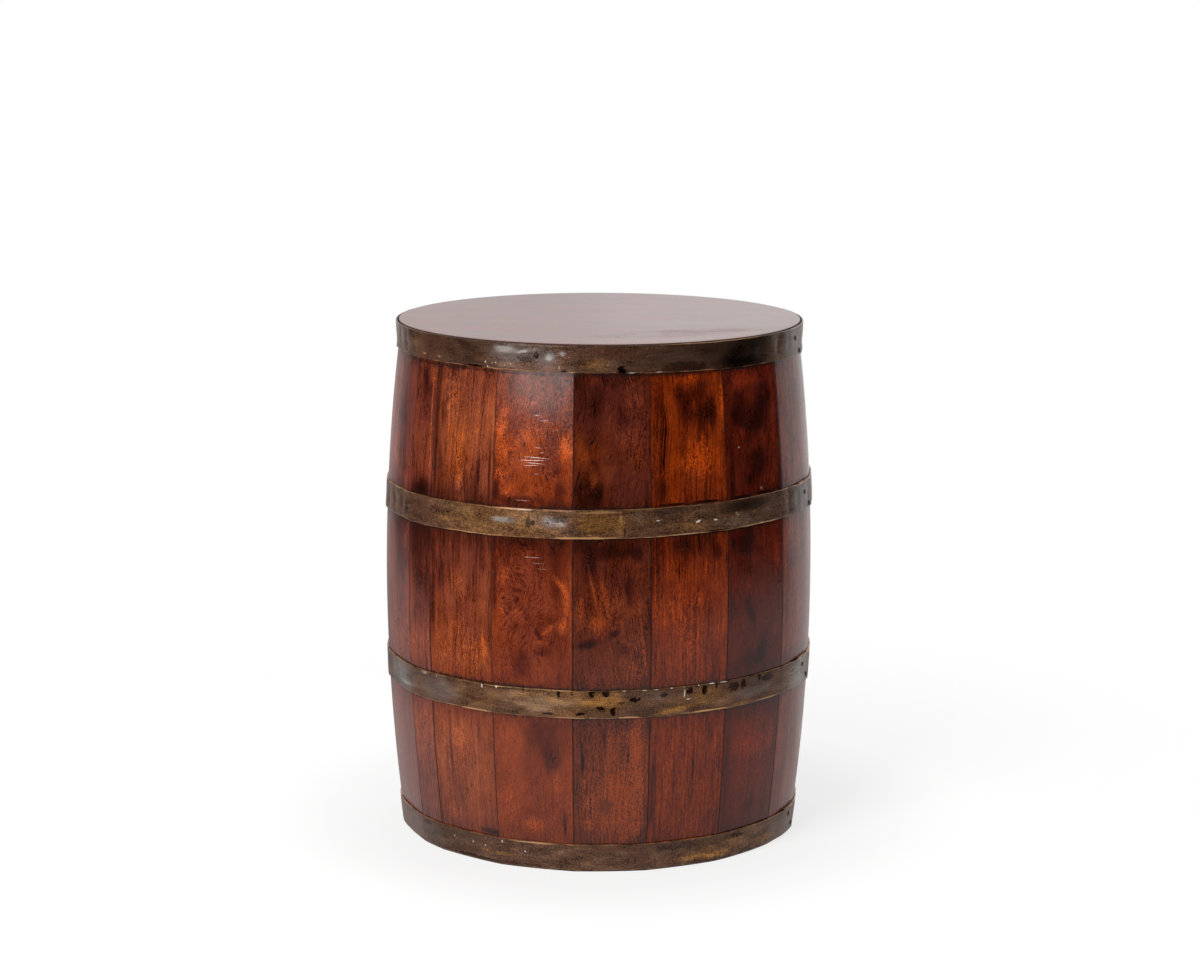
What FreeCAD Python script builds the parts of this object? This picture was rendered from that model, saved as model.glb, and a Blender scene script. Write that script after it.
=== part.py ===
import FreeCAD, Part
import Sketcher
import math
import os

# Drum side table in the form of a small barrel: coopered staves under a round plank top, bound by four
# brass hoops. The origin is on the floor under the table's centre, +Z is up and -Y is the front.
# An azimuth is an angle about Z in degrees, counted from the front towards +X.

DIMENSIONS = {
    # overall form; the bulge is how much wider the radius is at mid-height than at the floor
    "table_height": 457,
    "belly_radius": 192,
    "belly_bulge": 15,
    # tabletop; its edge stands in a little from the outside of the staves' upper ends
    "top_inset": 0.7,
    "top_thickness": 18,
    "top_arris_chamfer": 1.0,
    "top_middle_board_width": 100,
    # staves; the widths are taken round the belly, in order from the first joint
    "stave_thickness": 18,
    "first_joint_azimuth": -59.25,
    "stave_width_01": 33.0,
    "stave_width_02": 70.4,
    "stave_width_03": 73.0,
    "stave_width_04": 67.0,
    "stave_width_05": 72.7,
    "stave_width_06": 71.4,
    "stave_width_07": 72.0,
    "stave_width_08": 69.5,
    "stave_width_09": 73.5,
    "stave_width_10": 70.5,
    "stave_width_11": 71.0,
    "stave_width_12": 74.0,
    "stave_width_13": 34.6,
    "stave_width_14": 70.0,
    "stave_width_15": 72.5,
    "stave_width_16": 68.5,
    "stave_width_17": 73.0,
    "stave_width_18": 69.7,
    # bottom head, in a groove inside the staves
    "head_height": 22,
    "head_thickness": 12,
    "head_middle_board_width": 116,
    "groove_depth": 5,
    "groove_clearance": 0.3,
    # hoops
    "hoop_thickness": 1.3,
    "rim_hoop_reveal": 0.5,
    "rim_hoop_lap": 7.4,
    "belly_hoop_width": 25.2,
    "upper_belly_hoop_rise": 78.2,
    "lower_belly_hoop_drop": 77.2,
    "foot_hoop_lift": 1,
    "foot_hoop_width": 24.4,
    "hoop_end_overlap": 30,
    "hoop_end_azimuth": 71,
    # brass pins through the hoops
    "pin_head_diameter": 4.4,
    "pin_head_height": 0.9,
    "pin_head_edge": 0.3,
    "pin_crown_diameter": 2.4,
    "pin_shank_diameter": 1.6,
    "pin_shank_length": 14,
    "pin_point_length": 2,
    "pin_tip_diameter": 0.4,
    "pin_clearance": 0.05,
    "pair_rise": 6,
    "pair_azimuth_step": 2,
    "left_pin_azimuth": -61,
    "front_pin_azimuth": -17,
    "rear_pin_azimuth_1": 118,
    "rear_pin_azimuth_2": 155,
    "rear_pin_azimuth_3": 200,
    "rear_pin_azimuth_4": 245,
    # dowels between the staves and the tabletop
    "dowel_count": 4,
    "dowel_diameter": 8,
    "dowel_chamfer": 1,
    "dowel_depth_in_top": 10,
    "dowel_depth_in_stave": 18,
    "dowel_clearance": 0.1,
    # battens under the tabletop, and their screws
    "batten_width": 40,
    "batten_thickness": 18,
    "batten_offset": 80,
    "batten_end_clearance": 1,
    "screw_head_diameter": 8,
    "screw_head_height": 2.6,
    "screw_shank_diameter": 4,
    "screw_length": 30,
    "screw_point_length": 5,
    "screw_tip_diameter": 1,
    "screw_edge_distance": 24,
    "screw_clearance": 0.1,
}

document = FreeCAD.newDocument("drum_side_table")
sheet = document.addObject("Spreadsheet::Sheet", "Sizes")
for row, (alias, value) in enumerate(DIMENSIONS.items(), start=1):
    sheet.set(f"A{row}", alias)
    sheet.set(f"B{row}", str(value))
    sheet.setAlias(f"B{row}", alias)
document.recompute()

# Lengths and places that several pieces share, as expressions of the sheet's cells.
MIDDLE = "(Sizes.table_height / 2)"
BULGE = "Sizes.belly_bulge"
ARC = f"(({MIDDLE}^2 + {BULGE}^2) / (2 * {BULGE}))"
JOINT = "(Sizes.table_height - Sizes.top_thickness)"
RIM_LOW = f"({JOINT} - Sizes.rim_hoop_lap)"
RIM_HIGH = "(Sizes.table_height - Sizes.rim_hoop_reveal)"
GROOVE_HEIGHT = "(Sizes.head_thickness + Sizes.groove_clearance)"


def wall_radius(height, offset="0"):
    """Radius, at a height, of the surface that lies the offset outside the barrel's wall."""
    return f"(Sizes.belly_radius - {ARC} + sqrt(({ARC} + {offset})^2 - ({height} - {MIDDLE})^2))"


GROOVE_RADIUS = f"({wall_radius('Sizes.head_height', '-Sizes.stave_thickness')} + Sizes.groove_depth)"
HEAD_RADIUS = f"({GROOVE_RADIUS} - Sizes.groove_clearance)"
TOP_RADIUS = f"({wall_radius(JOINT)} - Sizes.top_inset)"
ROOM_RADIUS = wall_radius(JOINT, "-Sizes.stave_thickness")


def number(expression):
    """The value that an expression has with the present sizes."""
    return FreeCAD.Units.Quantity(sheet.evalExpression(expression)).Value


# --- sketches and features -----------------------------------------------------------------------------

def new_body(name):
    """An empty body."""
    return document.addObject("PartDesign::Body", name)


def new_sketch(body, name):
    """An empty sketch on the body's own XZ plane, where x is the radius and y the height."""
    plane = next(feature for feature in body.Origin.OriginFeatures if feature.Role == "XZ_Plane")
    sketch = body.newObject("Sketcher::SketchObject", name)
    sketch.AttachmentSupport = [(plane, "")]
    sketch.MapMode = "FlatFace"
    return sketch


def dimension(sketch, name, kind, where, expression):
    """Add one named dimension and bind it to the sheet."""
    index = sketch.addConstraint(Sketcher.Constraint(kind, *where, number(expression)))
    sketch.renameConstraint(index, name)
    sketch.setExpression(f"Constraints.{name}", expression)


def join_ends(sketch, loop):
    """Close a loop of curves, each given as its index, the end it starts from and the end it stops at."""
    for (curve, _, stop), (following, start, _) in zip(loop, loop[1:] + loop[:1]):
        sketch.addConstraint(Sketcher.Constraint("Coincident", curve, stop, following, start))


def polygon_section(body, name, corners):
    """Draw a closed outline whose corners are pairs of expressions."""
    sketch = new_sketch(body, name)
    points = [FreeCAD.Vector(number(across), number(up), 0) for across, up in corners]
    loop = []
    for start, stop in zip(points, points[1:] + points[:1]):
        loop.append((sketch.addGeometry(Part.LineSegment(start, stop)), 1, 2))
    join_ends(sketch, loop)
    for (line, _, _), (across, up) in zip(loop, corners):
        dimension(sketch, f"across_{line}", "DistanceX", (-1, 1, line, 1), across)
        dimension(sketch, f"up_{line}", "DistanceY", (-1, 1, line, 1), up)
    return sketch


def wall_section(body, name, low, high, inside, outside):
    """Draw the section of a band between two heights and between two offsets from the barrel's wall."""
    sketch = new_sketch(body, name)
    centre = FreeCAD.Vector(number(f"Sizes.belly_radius - {ARC}"), number(MIDDLE), 0)
    arcs = []
    for offset in (outside, inside):
        radius = number(f"{ARC} + {offset}")
        first = math.asin((number(low) - centre.y) / radius)
        last = math.asin((number(high) - centre.y) / radius)
        circle = Part.Circle(centre, FreeCAD.Vector(0, 0, 1), radius)
        arcs.append(sketch.addGeometry(Part.ArcOfCircle(circle, first, last)))
    outer, inner = arcs
    top = sketch.addGeometry(Part.LineSegment(sketch.getPoint(outer, 2), sketch.getPoint(inner, 2)))
    bottom = sketch.addGeometry(Part.LineSegment(sketch.getPoint(inner, 1), sketch.getPoint(outer, 1)))
    join_ends(sketch, [(outer, 1, 2), (top, 1, 2), (inner, 2, 1), (bottom, 1, 2)])
    sketch.addConstraint(Sketcher.Constraint("Coincident", outer, 3, inner, 3))
    sketch.addConstraint(Sketcher.Constraint("Horizontal", top))
    sketch.addConstraint(Sketcher.Constraint("Horizontal", bottom))
    dimension(sketch, "centre_inset", "DistanceX", (outer, 3, -1, 1), f"{ARC} - Sizes.belly_radius")
    dimension(sketch, "centre_height", "DistanceY", (-1, 1, outer, 3), MIDDLE)
    dimension(sketch, "outer_radius", "Radius", (outer,), f"{ARC} + {outside}")
    dimension(sketch, "inner_radius", "Radius", (inner,), f"{ARC} + {inside}")
    dimension(sketch, "low", "DistanceY", (-1, 1, outer, 1), low)
    dimension(sketch, "high", "DistanceY", (-1, 1, outer, 2), high)
    return sketch


def revolve(body, name, sketch, angle="360", axis="V_Axis", midplane=False, kind="Revolution"):
    """Turn a sketch about one of its axes, to add to the body or, as a Groove, to cut it."""
    feature = body.newObject(f"PartDesign::{kind}", name)
    feature.Profile = sketch
    feature.ReferenceAxis = (sketch, [axis])
    feature.Midplane = midplane
    feature.setExpression("Angle", angle)
    document.recompute()
    return feature


# --- places, as expressions that bind a piece's Placement -----------------------------------------------

def shift(x, y, z):
    """A plain move."""
    return f"placement(vector({x}; {y}; {z}); rotationz(0))"


def face(azimuth):
    """A turn about Z that points +X to an azimuth."""
    return f"placement(vector(0; 0; 0); rotationz({azimuth} - 90))"


def tip_up(angle):
    """A turn about Y that lifts +X by an angle."""
    return f"placement(vector(0; 0; 0); rotationy(-{angle}))"


def on_wall(azimuth, height, layers):
    """Square to the barrel's wall, on a number of layers of hoop strip, with +X outwards."""
    lift = f"asin(({height} - {MIDDLE}) / {ARC})"
    to_arc_centre = shift(f"Sizes.belly_radius - {ARC}", 0, MIDDLE)
    to_surface = shift(f"{ARC} + {layers} * Sizes.hoop_thickness", 0, 0)
    return " * ".join([face(azimuth), to_arc_centre, tip_up(lift), to_surface])


def on_rim(azimuth, layers):
    """Square to the rim hoop, halfway up its band round the tabletop, with +X outwards."""
    lift = f"atan(Sizes.top_inset / ({RIM_HIGH} - {JOINT}))"
    to_band = shift(f"({wall_radius(JOINT)} + {TOP_RADIUS}) / 2", 0, f"({JOINT} + {RIM_HIGH}) / 2")
    to_surface = shift(f"{layers} * Sizes.hoop_thickness", 0, 0)
    return " * ".join([face(azimuth), to_band, tip_up(lift), to_surface])


# --- fasteners: one master of each, one of the hole it needs, and linked copies of both -----------------

def turned_master(name, outline):
    """A piece turned about +X, from pairs of a place along the axis and the radius there."""
    body = new_body(name)
    start = (outline[0][0], "0")
    stop = (outline[-1][0], "0")
    section = polygon_section(body, f"{name}_section", [start, *outline, stop])
    revolve(body, f"{name}_turned", section, axis="H_Axis")
    return body


def copies(name, master, places):
    """One compound of linked copies of a master, one at each place."""
    links = []
    for index, place in enumerate(places, start=1):
        link = document.addObject("App::Link", f"{name}_{index}")
        link.LinkedObject = master
        link.setExpression("Placement", place)
        links.append(link)
    group = document.addObject("Part::Compound", name)
    group.Links = links
    return group


def with_holes(name, blank, holes):
    """The finished piece: a blank with its holes cut."""
    piece = document.addObject("Part::Cut", name)
    piece.Base = blank
    piece.Tool = holes
    return piece


PIN_RADIUS = "Sizes.pin_shank_diameter / 2"
pin = turned_master("pin", [
    ("-Sizes.pin_shank_length", "Sizes.pin_tip_diameter / 2"),
    ("Sizes.pin_point_length - Sizes.pin_shank_length", PIN_RADIUS),
    ("0", PIN_RADIUS),
    ("0", "Sizes.pin_head_diameter / 2"),
    ("Sizes.pin_head_edge", "Sizes.pin_head_diameter / 2"),
    ("Sizes.pin_head_height", "Sizes.pin_crown_diameter / 2"),
])
pin_hole = turned_master("pin_hole", [
    ("-Sizes.pin_shank_length - Sizes.pin_clearance", f"{PIN_RADIUS} + Sizes.pin_clearance"),
    ("Sizes.hoop_thickness", f"{PIN_RADIUS} + Sizes.pin_clearance"),
])

DOWEL_RADIUS = "Sizes.dowel_diameter / 2"
dowel = turned_master("dowel", [
    ("-Sizes.dowel_depth_in_stave", f"{DOWEL_RADIUS} - Sizes.dowel_chamfer"),
    ("Sizes.dowel_chamfer - Sizes.dowel_depth_in_stave", DOWEL_RADIUS),
    ("Sizes.dowel_depth_in_top - Sizes.dowel_chamfer", DOWEL_RADIUS),
    ("Sizes.dowel_depth_in_top", f"{DOWEL_RADIUS} - Sizes.dowel_chamfer"),
])
dowel_hole = turned_master("dowel_hole", [
    ("-Sizes.dowel_depth_in_stave - Sizes.dowel_clearance", f"{DOWEL_RADIUS} + Sizes.dowel_clearance"),
    ("Sizes.dowel_depth_in_top + Sizes.dowel_clearance", f"{DOWEL_RADIUS} + Sizes.dowel_clearance"),
])

SCREW_RADIUS = "Sizes.screw_shank_diameter / 2"
screw = turned_master("screw", [
    ("-Sizes.screw_length", "Sizes.screw_tip_diameter / 2"),
    ("Sizes.screw_point_length - Sizes.screw_length", SCREW_RADIUS),
    ("-Sizes.screw_head_height", SCREW_RADIUS),
    ("0", "Sizes.screw_head_diameter / 2"),
])
screw_hole = turned_master("screw_hole", [
    ("-Sizes.screw_length - Sizes.screw_clearance", f"{SCREW_RADIUS} + Sizes.screw_clearance"),
    ("-Sizes.screw_head_height", f"{SCREW_RADIUS} + Sizes.screw_clearance"),
    ("0", "Sizes.screw_head_diameter / 2 + Sizes.screw_clearance"),
    ("Sizes.screw_clearance", "Sizes.screw_head_diameter / 2 + Sizes.screw_clearance"),
])


# --- hoops: strip brass whose ends overlap, held by pins ------------------------------------------------

REAR_PINS = [f"Sizes.rear_pin_azimuth_{number_of_pin}" for number_of_pin in range(1, 5)]


def pair_places(middle):
    """The two pins through a hoop's overlapping ends, one above and ahead of the other."""
    return [on_wall("Sizes.hoop_end_azimuth - Sizes.pair_azimuth_step", f"{middle} + Sizes.pair_rise", 2),
            on_wall("Sizes.hoop_end_azimuth + Sizes.pair_azimuth_step", f"{middle} - Sizes.pair_rise", 2)]


def rim_places():
    """The rim hoop's pins go into the tabletop's edge, and one of its pair into a stave."""
    lap_middle = f"{JOINT} - Sizes.rim_hoop_lap / 2"
    pair = [on_rim("Sizes.hoop_end_azimuth - Sizes.pair_azimuth_step", 2),
            on_wall("Sizes.hoop_end_azimuth + Sizes.pair_azimuth_step", lap_middle, 2)]
    return pair + [on_rim(azimuth, 1) for azimuth in ["Sizes.front_pin_azimuth", *REAR_PINS]]


def wrap_strip(body, low, high, rim=False):
    """Wrap the strip once round the wall, then lay its outer end over its inner one."""
    overlap = "360 * Sizes.hoop_end_overlap / (2 * pi * Sizes.belly_radius)"
    layers = [("strip", "0", "Sizes.hoop_thickness", "360"),
              ("overlap", "Sizes.hoop_thickness", "2 * Sizes.hoop_thickness", overlap)]
    for layer, inside, outside, angle in layers:
        name = f"{body.Name}_{layer}"
        wall = wall_section(body, f"{name}_section", low, JOINT if rim else high, inside, outside)
        revolve(body, name, wall, angle, midplane=layer == "overlap")
        if rim:
            band = polygon_section(body, f"{name}_band_section", [
                (wall_radius(JOINT, inside), JOINT),
                (wall_radius(JOINT, outside), JOINT),
                (f"{TOP_RADIUS} + {outside}", high),
                (f"{TOP_RADIUS} + {inside}", high),
            ])
            revolve(body, f"{name}_band", band, angle, midplane=layer == "overlap")


def make_hoop(name, low, high, pin_places, rim=False):
    """Make one hoop with its pins, and give back both nodes and the pins' holes."""
    blank = new_body(f"{name}_blank")
    wrap_strip(blank, low, high, rim)
    blank.setExpression("Placement", face("Sizes.hoop_end_azimuth"))
    pins = copies(f"{name}_pins", pin, pin_places)
    holes = copies(f"{name}_pin_holes", pin_hole, pin_places)
    return with_holes(name, blank, holes), pins, holes


upper_middle = f"({MIDDLE} + Sizes.upper_belly_hoop_rise)"
lower_middle = f"({MIDDLE} - Sizes.lower_belly_hoop_drop)"
foot_middle = "(Sizes.foot_hoop_lift + Sizes.foot_hoop_width / 2)"
front_pins = ["Sizes.left_pin_azimuth", "Sizes.front_pin_azimuth"]

rim_hoop, rim_pins, rim_pin_holes = make_hoop("rim_hoop", RIM_LOW, RIM_HIGH, rim_places(), rim=True)
upper_belly_hoop, upper_pins, upper_pin_holes = make_hoop(
    "upper_belly_hoop",
    f"{upper_middle} - Sizes.belly_hoop_width / 2",
    f"{upper_middle} + Sizes.belly_hoop_width / 2",
    pair_places(upper_middle) + [on_wall(azimuth, upper_middle, 1) for azimuth in front_pins + REAR_PINS])
lower_belly_hoop, lower_pins, lower_pin_holes = make_hoop(
    "lower_belly_hoop",
    f"{lower_middle} - Sizes.belly_hoop_width / 2",
    f"{lower_middle} + Sizes.belly_hoop_width / 2",
    pair_places(lower_middle) + [on_wall(azimuth, lower_middle, 1) for azimuth in REAR_PINS])
foot_hoop, foot_pins, foot_pin_holes = make_hoop(
    "foot_hoop",
    "Sizes.foot_hoop_lift",
    "Sizes.foot_hoop_lift + Sizes.foot_hoop_width",
    pair_places(foot_middle) + [on_wall(azimuth, foot_middle, 1) for azimuth in REAR_PINS])


# --- dowels, upright in the middle of the staves' upper ends ---------------------------------------------

dowel_count = round(number("Sizes.dowel_count"))
dowel_places = []
for index in range(dowel_count):
    to_stave_end = shift(f"({wall_radius(JOINT)} + {ROOM_RADIUS}) / 2", 0, JOINT)
    dowel_places.append(" * ".join([face(f"{index} * 360 / Sizes.dowel_count"), to_stave_end, tip_up("90")]))
top_dowels = copies("top_dowels", dowel, dowel_places)
dowel_holes = copies("dowel_holes", dowel_hole, dowel_places)


# --- staves: a bellied section turned through each stave's share of the circle ---------------------------

STAVE_WIDTHS = [f"Sizes.{alias}" for alias in DIMENSIONS if alias.startswith("stave_width_")]
ALL_WIDTHS = f"({' + '.join(STAVE_WIDTHS)})"

wall_holes = document.addObject("Part::Compound", "wall_holes")
wall_holes.Links = [rim_pin_holes, upper_pin_holes, lower_pin_holes, foot_pin_holes, dowel_holes]


def make_stave(index):
    """One stave, with the groove for the bottom head and the holes that fall in it."""
    name = f"stave_{index + 1:02d}"
    blank = new_body(f"{name}_blank")
    section = wall_section(blank, f"{name}_section", "0", JOINT, "-Sizes.stave_thickness", "0")
    bent = revolve(blank, f"{name}_bent", section, f"360 * {STAVE_WIDTHS[index]} / {ALL_WIDTHS}")
    groove_section = polygon_section(blank, f"{name}_groove_section", [
        (f"{HEAD_RADIUS} - Sizes.stave_thickness", "Sizes.head_height"),
        (GROOVE_RADIUS, "Sizes.head_height"),
        (GROOVE_RADIUS, f"Sizes.head_height + {GROOVE_HEIGHT}"),
        (f"{HEAD_RADIUS} - Sizes.stave_thickness", f"Sizes.head_height + {GROOVE_HEIGHT}"),
    ])
    grooved = revolve(blank, f"{name}_groove", groove_section, kind="Groove")
    if grooved.Shape.Volume >= bent.Shape.Volume:
        raise RuntimeError(f"{name}: the groove cuts nothing")
    before = " + ".join(["0", *STAVE_WIDTHS[:index]])
    blank.setExpression("Placement", face(f"(Sizes.first_joint_azimuth + 360 * ({before}) / {ALL_WIDTHS})"))
    return with_holes(name, blank, wall_holes)


staves = [make_stave(index) for index in range(len(STAVE_WIDTHS))]


# --- boards: a disc of three boards edge to edge, their grain from left to right -------------------------

def make_boards(name, disc, radius, base, thickness, middle_width):
    """Saw a disc into a front, a middle and a rear board."""
    edge = f"{middle_width} / 2"
    outside = f"({radius} + {middle_width} / 2)"
    boards = []
    for place, near, far in [("front", f"-{outside}", f"-{edge}"),
                             ("middle", f"-{edge}", edge),
                             ("rear", edge, outside)]:
        plank = document.addObject("Part::Box", f"{name}_{place}_plank")
        plank.setExpression("Length", f"2 * {outside}")
        plank.setExpression("Width", f"{far} - ({near})")
        plank.setExpression("Height", thickness)
        plank.setExpression("Placement", shift(f"-{outside}", near, base))
        board = document.addObject("Part::Common", f"{name}_{place}")
        board.Base = disc
        board.Tool = plank
        boards.append(board)
    return boards


top_disc = new_body("top_disc")
top_section = polygon_section(top_disc, "top_section", [
    ("0", JOINT),
    (TOP_RADIUS, JOINT),
    (TOP_RADIUS, "Sizes.table_height"),
    ("0", "Sizes.table_height"),
])
top_turned = revolve(top_disc, "top_turned", top_section)
arris = next(f"Edge{count}" for count, edge in enumerate(top_turned.Shape.Edges, start=1)
             if edge.BoundBox.ZMin > number(JOINT) + 1e-6 and isinstance(edge.Curve, Part.Circle))
top_edge = top_disc.newObject("PartDesign::Chamfer", "top_edge")
top_edge.Base = (top_turned, [arris])
top_edge.setExpression("Size", "Sizes.top_arris_chamfer")

batten_places = {"left_batten": "-Sizes.batten_offset", "right_batten": "Sizes.batten_offset"}
screw_reach = "(Sizes.top_middle_board_width / 2 + Sizes.screw_edge_distance)"
screw_places = []
for across in batten_places.values():
    for along in (f"-{screw_reach}", "0", screw_reach):
        under_batten = shift(across, along, f"{JOINT} - Sizes.batten_thickness")
        screw_places.append(f"{under_batten} * {tip_up('(-90)')}")
batten_screws = copies("batten_screws", screw, screw_places)
screw_holes = copies("screw_holes", screw_hole, screw_places)

top_holes = document.addObject("Part::Compound", "top_holes")
top_holes.Links = [rim_pin_holes, dowel_holes, screw_holes]
top_blanks = make_boards("top_blank", top_disc, TOP_RADIUS, JOINT, "Sizes.top_thickness",
                         "Sizes.top_middle_board_width")
top_boards = [with_holes(blank.Name.replace("blank", "board"), blank, top_holes) for blank in top_blanks]

head_disc = document.addObject("Part::Cylinder", "head_disc")
head_disc.setExpression("Radius", HEAD_RADIUS)
head_disc.setExpression("Height", "Sizes.head_thickness")
head_disc.setExpression("Placement", shift(0, 0, "Sizes.head_height"))
bottom_boards = make_boards("bottom_board", head_disc, HEAD_RADIUS, "Sizes.head_height",
                            "Sizes.head_thickness", "Sizes.head_middle_board_width")


# --- battens across the tabletop's boards, as long as the room between the staves allows -----------------

def make_batten(name, across):
    """One batten under the tabletop, with its countersunk holes."""
    corner = "(Sizes.batten_offset + Sizes.batten_width / 2)"
    reach = f"(sqrt({ROOM_RADIUS}^2 - {corner}^2) - Sizes.batten_end_clearance)"
    blank = document.addObject("Part::Box", f"{name}_blank")
    blank.setExpression("Length", "Sizes.batten_width")
    blank.setExpression("Width", f"2 * {reach}")
    blank.setExpression("Height", "Sizes.batten_thickness")
    blank.setExpression("Placement", shift(f"{across} - Sizes.batten_width / 2", f"-{reach}",
                                           f"{JOINT} - Sizes.batten_thickness"))
    return with_holes(name, blank, screw_holes)


battens = [make_batten(name, across) for name, across in batten_places.items()]


# --- check and write -------------------------------------------------------------------------------------

document.recompute()
for item in document.Objects:
    if {"Invalid", "Error"} & set(item.State):
        raise RuntimeError(f"{item.Name} failed: {item.State}")

nodes = [*staves, *top_boards, *bottom_boards, *battens, top_dowels, batten_screws,
         rim_hoop, upper_belly_hoop, lower_belly_hoop, foot_hoop,
         rim_pins, upper_pins, lower_pins, foot_pins]
for node in nodes:
    if node.Shape.isNull() or not node.Shape.isValid():
        raise RuntimeError(f"{node.Label} has no valid shape")

os.makedirs("parts", exist_ok=True)
for node in nodes:
    node.Shape.exportStep(f"parts/{node.Label}.step")
    print(f"{node.Label}: {len(node.Shape.Solids)} solid(s), {node.Shape.Volume / 1000:.1f} cm3")
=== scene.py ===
import bisect
import math
import random

import bmesh
import bpy
from mathutils import Matrix, Vector, noise


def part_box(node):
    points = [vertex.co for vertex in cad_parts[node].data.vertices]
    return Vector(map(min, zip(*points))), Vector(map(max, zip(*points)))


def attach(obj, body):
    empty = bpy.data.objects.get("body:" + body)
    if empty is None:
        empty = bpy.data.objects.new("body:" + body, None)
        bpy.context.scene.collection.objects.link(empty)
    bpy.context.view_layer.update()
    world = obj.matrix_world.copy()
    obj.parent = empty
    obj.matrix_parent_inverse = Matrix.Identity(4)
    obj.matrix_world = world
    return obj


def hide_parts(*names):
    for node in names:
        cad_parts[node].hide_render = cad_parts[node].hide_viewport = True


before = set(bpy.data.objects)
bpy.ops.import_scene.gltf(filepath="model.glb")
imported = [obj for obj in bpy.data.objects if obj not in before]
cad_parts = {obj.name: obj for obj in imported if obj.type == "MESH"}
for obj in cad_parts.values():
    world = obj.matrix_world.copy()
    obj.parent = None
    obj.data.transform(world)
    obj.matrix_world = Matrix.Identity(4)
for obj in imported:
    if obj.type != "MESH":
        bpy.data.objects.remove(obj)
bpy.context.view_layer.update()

# --- Staves -------------------------------------------------------------------------------------------
# Eighteen coopered staves of figured hardwood, planed almost flat across, bent to the barrel's belly and
# glued edge to edge, with a croze cut inside for the bottom boards. Their red-brown satin lacquer is
# darkest along the joints; beside the hoops it carries grime and painted shade, and some of its light and
# dark marks are painted reflections of the studio.

MM = 0.001
STAVE_THICKNESS = 18 * MM
SAME_LEVEL = 0.01 * MM
STAVES = [f"stave_{count:02d}" for count in range(1, 19)]


def azimuth_of(point):
    """Angle about the barrel's axis in degrees, from the front towards the right."""
    return math.degrees(math.atan2(point.x, -point.y))


def turned(angle):
    """The same angle, between -180 and 180."""
    return (angle + 180) % 360 - 180


def stave_span(name):
    """The azimuths of a stave's left and right joints."""
    points = [vertex.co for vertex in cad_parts[name].data.vertices]
    heading = azimuth_of(sum(points, Vector()))
    offsets = [turned(azimuth_of(point) - heading) for point in points]
    return heading + min(offsets), heading + max(offsets)


stave_spans = {name: stave_span(name) for name in STAVES}
stave_base, stave_top = (corner.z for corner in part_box("stave_02"))
table_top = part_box("top_board_middle")[1].z
middle_height = table_top / 2


def node_radius(node, height):
    """Largest radius of a node's own points at a height."""
    points = [vertex.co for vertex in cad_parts[node].data.vertices]
    level = min(points, key=lambda point: abs(point.z - height)).z
    return max(math.hypot(point.x, point.y) for point in points if abs(point.z - level) < SAME_LEVEL)


foot_radius = node_radius("stave_02", stave_base)
belly_radius = max(math.hypot(vertex.co.x, vertex.co.y)
                   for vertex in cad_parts["stave_02"].data.vertices)
bulge = belly_radius - foot_radius
arc_radius = (middle_height ** 2 + bulge ** 2) / (2 * bulge)


def wall_radius(height, offset=0.0):
    """Radius of the barrel's round wall at a height, or of a surface that lies the offset outside it."""
    rise = height - middle_height
    return belly_radius - arc_radius + math.sqrt((arc_radius + offset) ** 2 - rise ** 2)


# How flat the plane left each stave's face, from 0, as round as the barrel, to 1, dead flat.
USUAL_FLATNESS = 0.5
FLATNESS = {"stave_06": 0.3, "stave_07": 0.1}
faces_round = sorted((turned(left), turned(left) + right - left, FLATNESS.get(name, USUAL_FLATNESS))
                     for name, (left, right) in stave_spans.items())


def flat_share(azimuth):
    """How far inside the round wall a stave's planed face lies, as a share of the radius."""
    azimuth = turned(azimuth)
    place = bisect.bisect_right(faces_round, (azimuth, math.inf)) - 1
    left, right, flatness = faces_round[place]
    half = math.radians(right - left) / 2
    if place < 0:
        azimuth += 360
    return flatness * (1 - math.cos(half) / math.cos(math.radians(azimuth - (left + right) / 2)))


def face_radius(azimuth, height):
    """Radius of the planed faces at a place."""
    return wall_radius(height) * (1 - flat_share(azimuth))


def at(azimuth, radius, height):
    """The point at an azimuth, radius and height."""
    angle = math.radians(azimuth)
    return Vector((radius * math.sin(angle), -radius * math.cos(angle), height))


# How far apart the noise of one seed and the next lies, and the grain of one piece and the next.
SEED_STEP = 17.3
GRAIN_STEP = 1000


def ripple(seed, across, along, across_period, along_period):
    """Smooth unevenness between -1 and 1."""
    return noise.noise(Vector((across / across_period, along / along_period, seed * SEED_STEP)))


def put_in_scene(name, data):
    """A new object in the scene."""
    thing = bpy.data.objects.new(name, data)
    bpy.context.scene.collection.objects.link(thing)
    return thing


def new_piece(name, mesh, material, sharp_angle=40):
    """Finish a mesh as one visible piece that rides with the table."""
    mesh.materials.append(material)
    for polygon in mesh.polygons:
        polygon.use_smooth = True
    mesh.set_sharp_from_angle(angle=math.radians(sharp_angle))
    piece = put_in_scene(name, mesh)
    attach(piece, "root")
    return piece


def new_mesh(name, points, faces, **vectors):
    """A mesh of points and faces, with vectors at its points for the material to read."""
    mesh = bpy.data.meshes.new(name)
    mesh.from_pydata(points, [], faces)
    for kind, values in vectors.items():
        layer = mesh.attributes.new(kind, "FLOAT_VECTOR", "POINT")
        layer.data.foreach_set("vector", [number for value in values for number in value])
    return mesh


def quads_between(rings, size, start=0, inward=False):
    """The faces between rings of points that lie one after another, each ring closed on itself."""
    faces = []
    for ring in range(rings - 1):
        low = start + ring * size
        for index in range(size):
            following = (index + 1) % size
            below, above = (low + index, low + following), (low + size + following, low + size + index)
            faces.append((below[0], *above[::-1], below[1]) if inward else below + above)
    return faces


# A spot's half depth, so deep that only its place on the face counts.
RIGHT_THROUGH = 1e6


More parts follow.
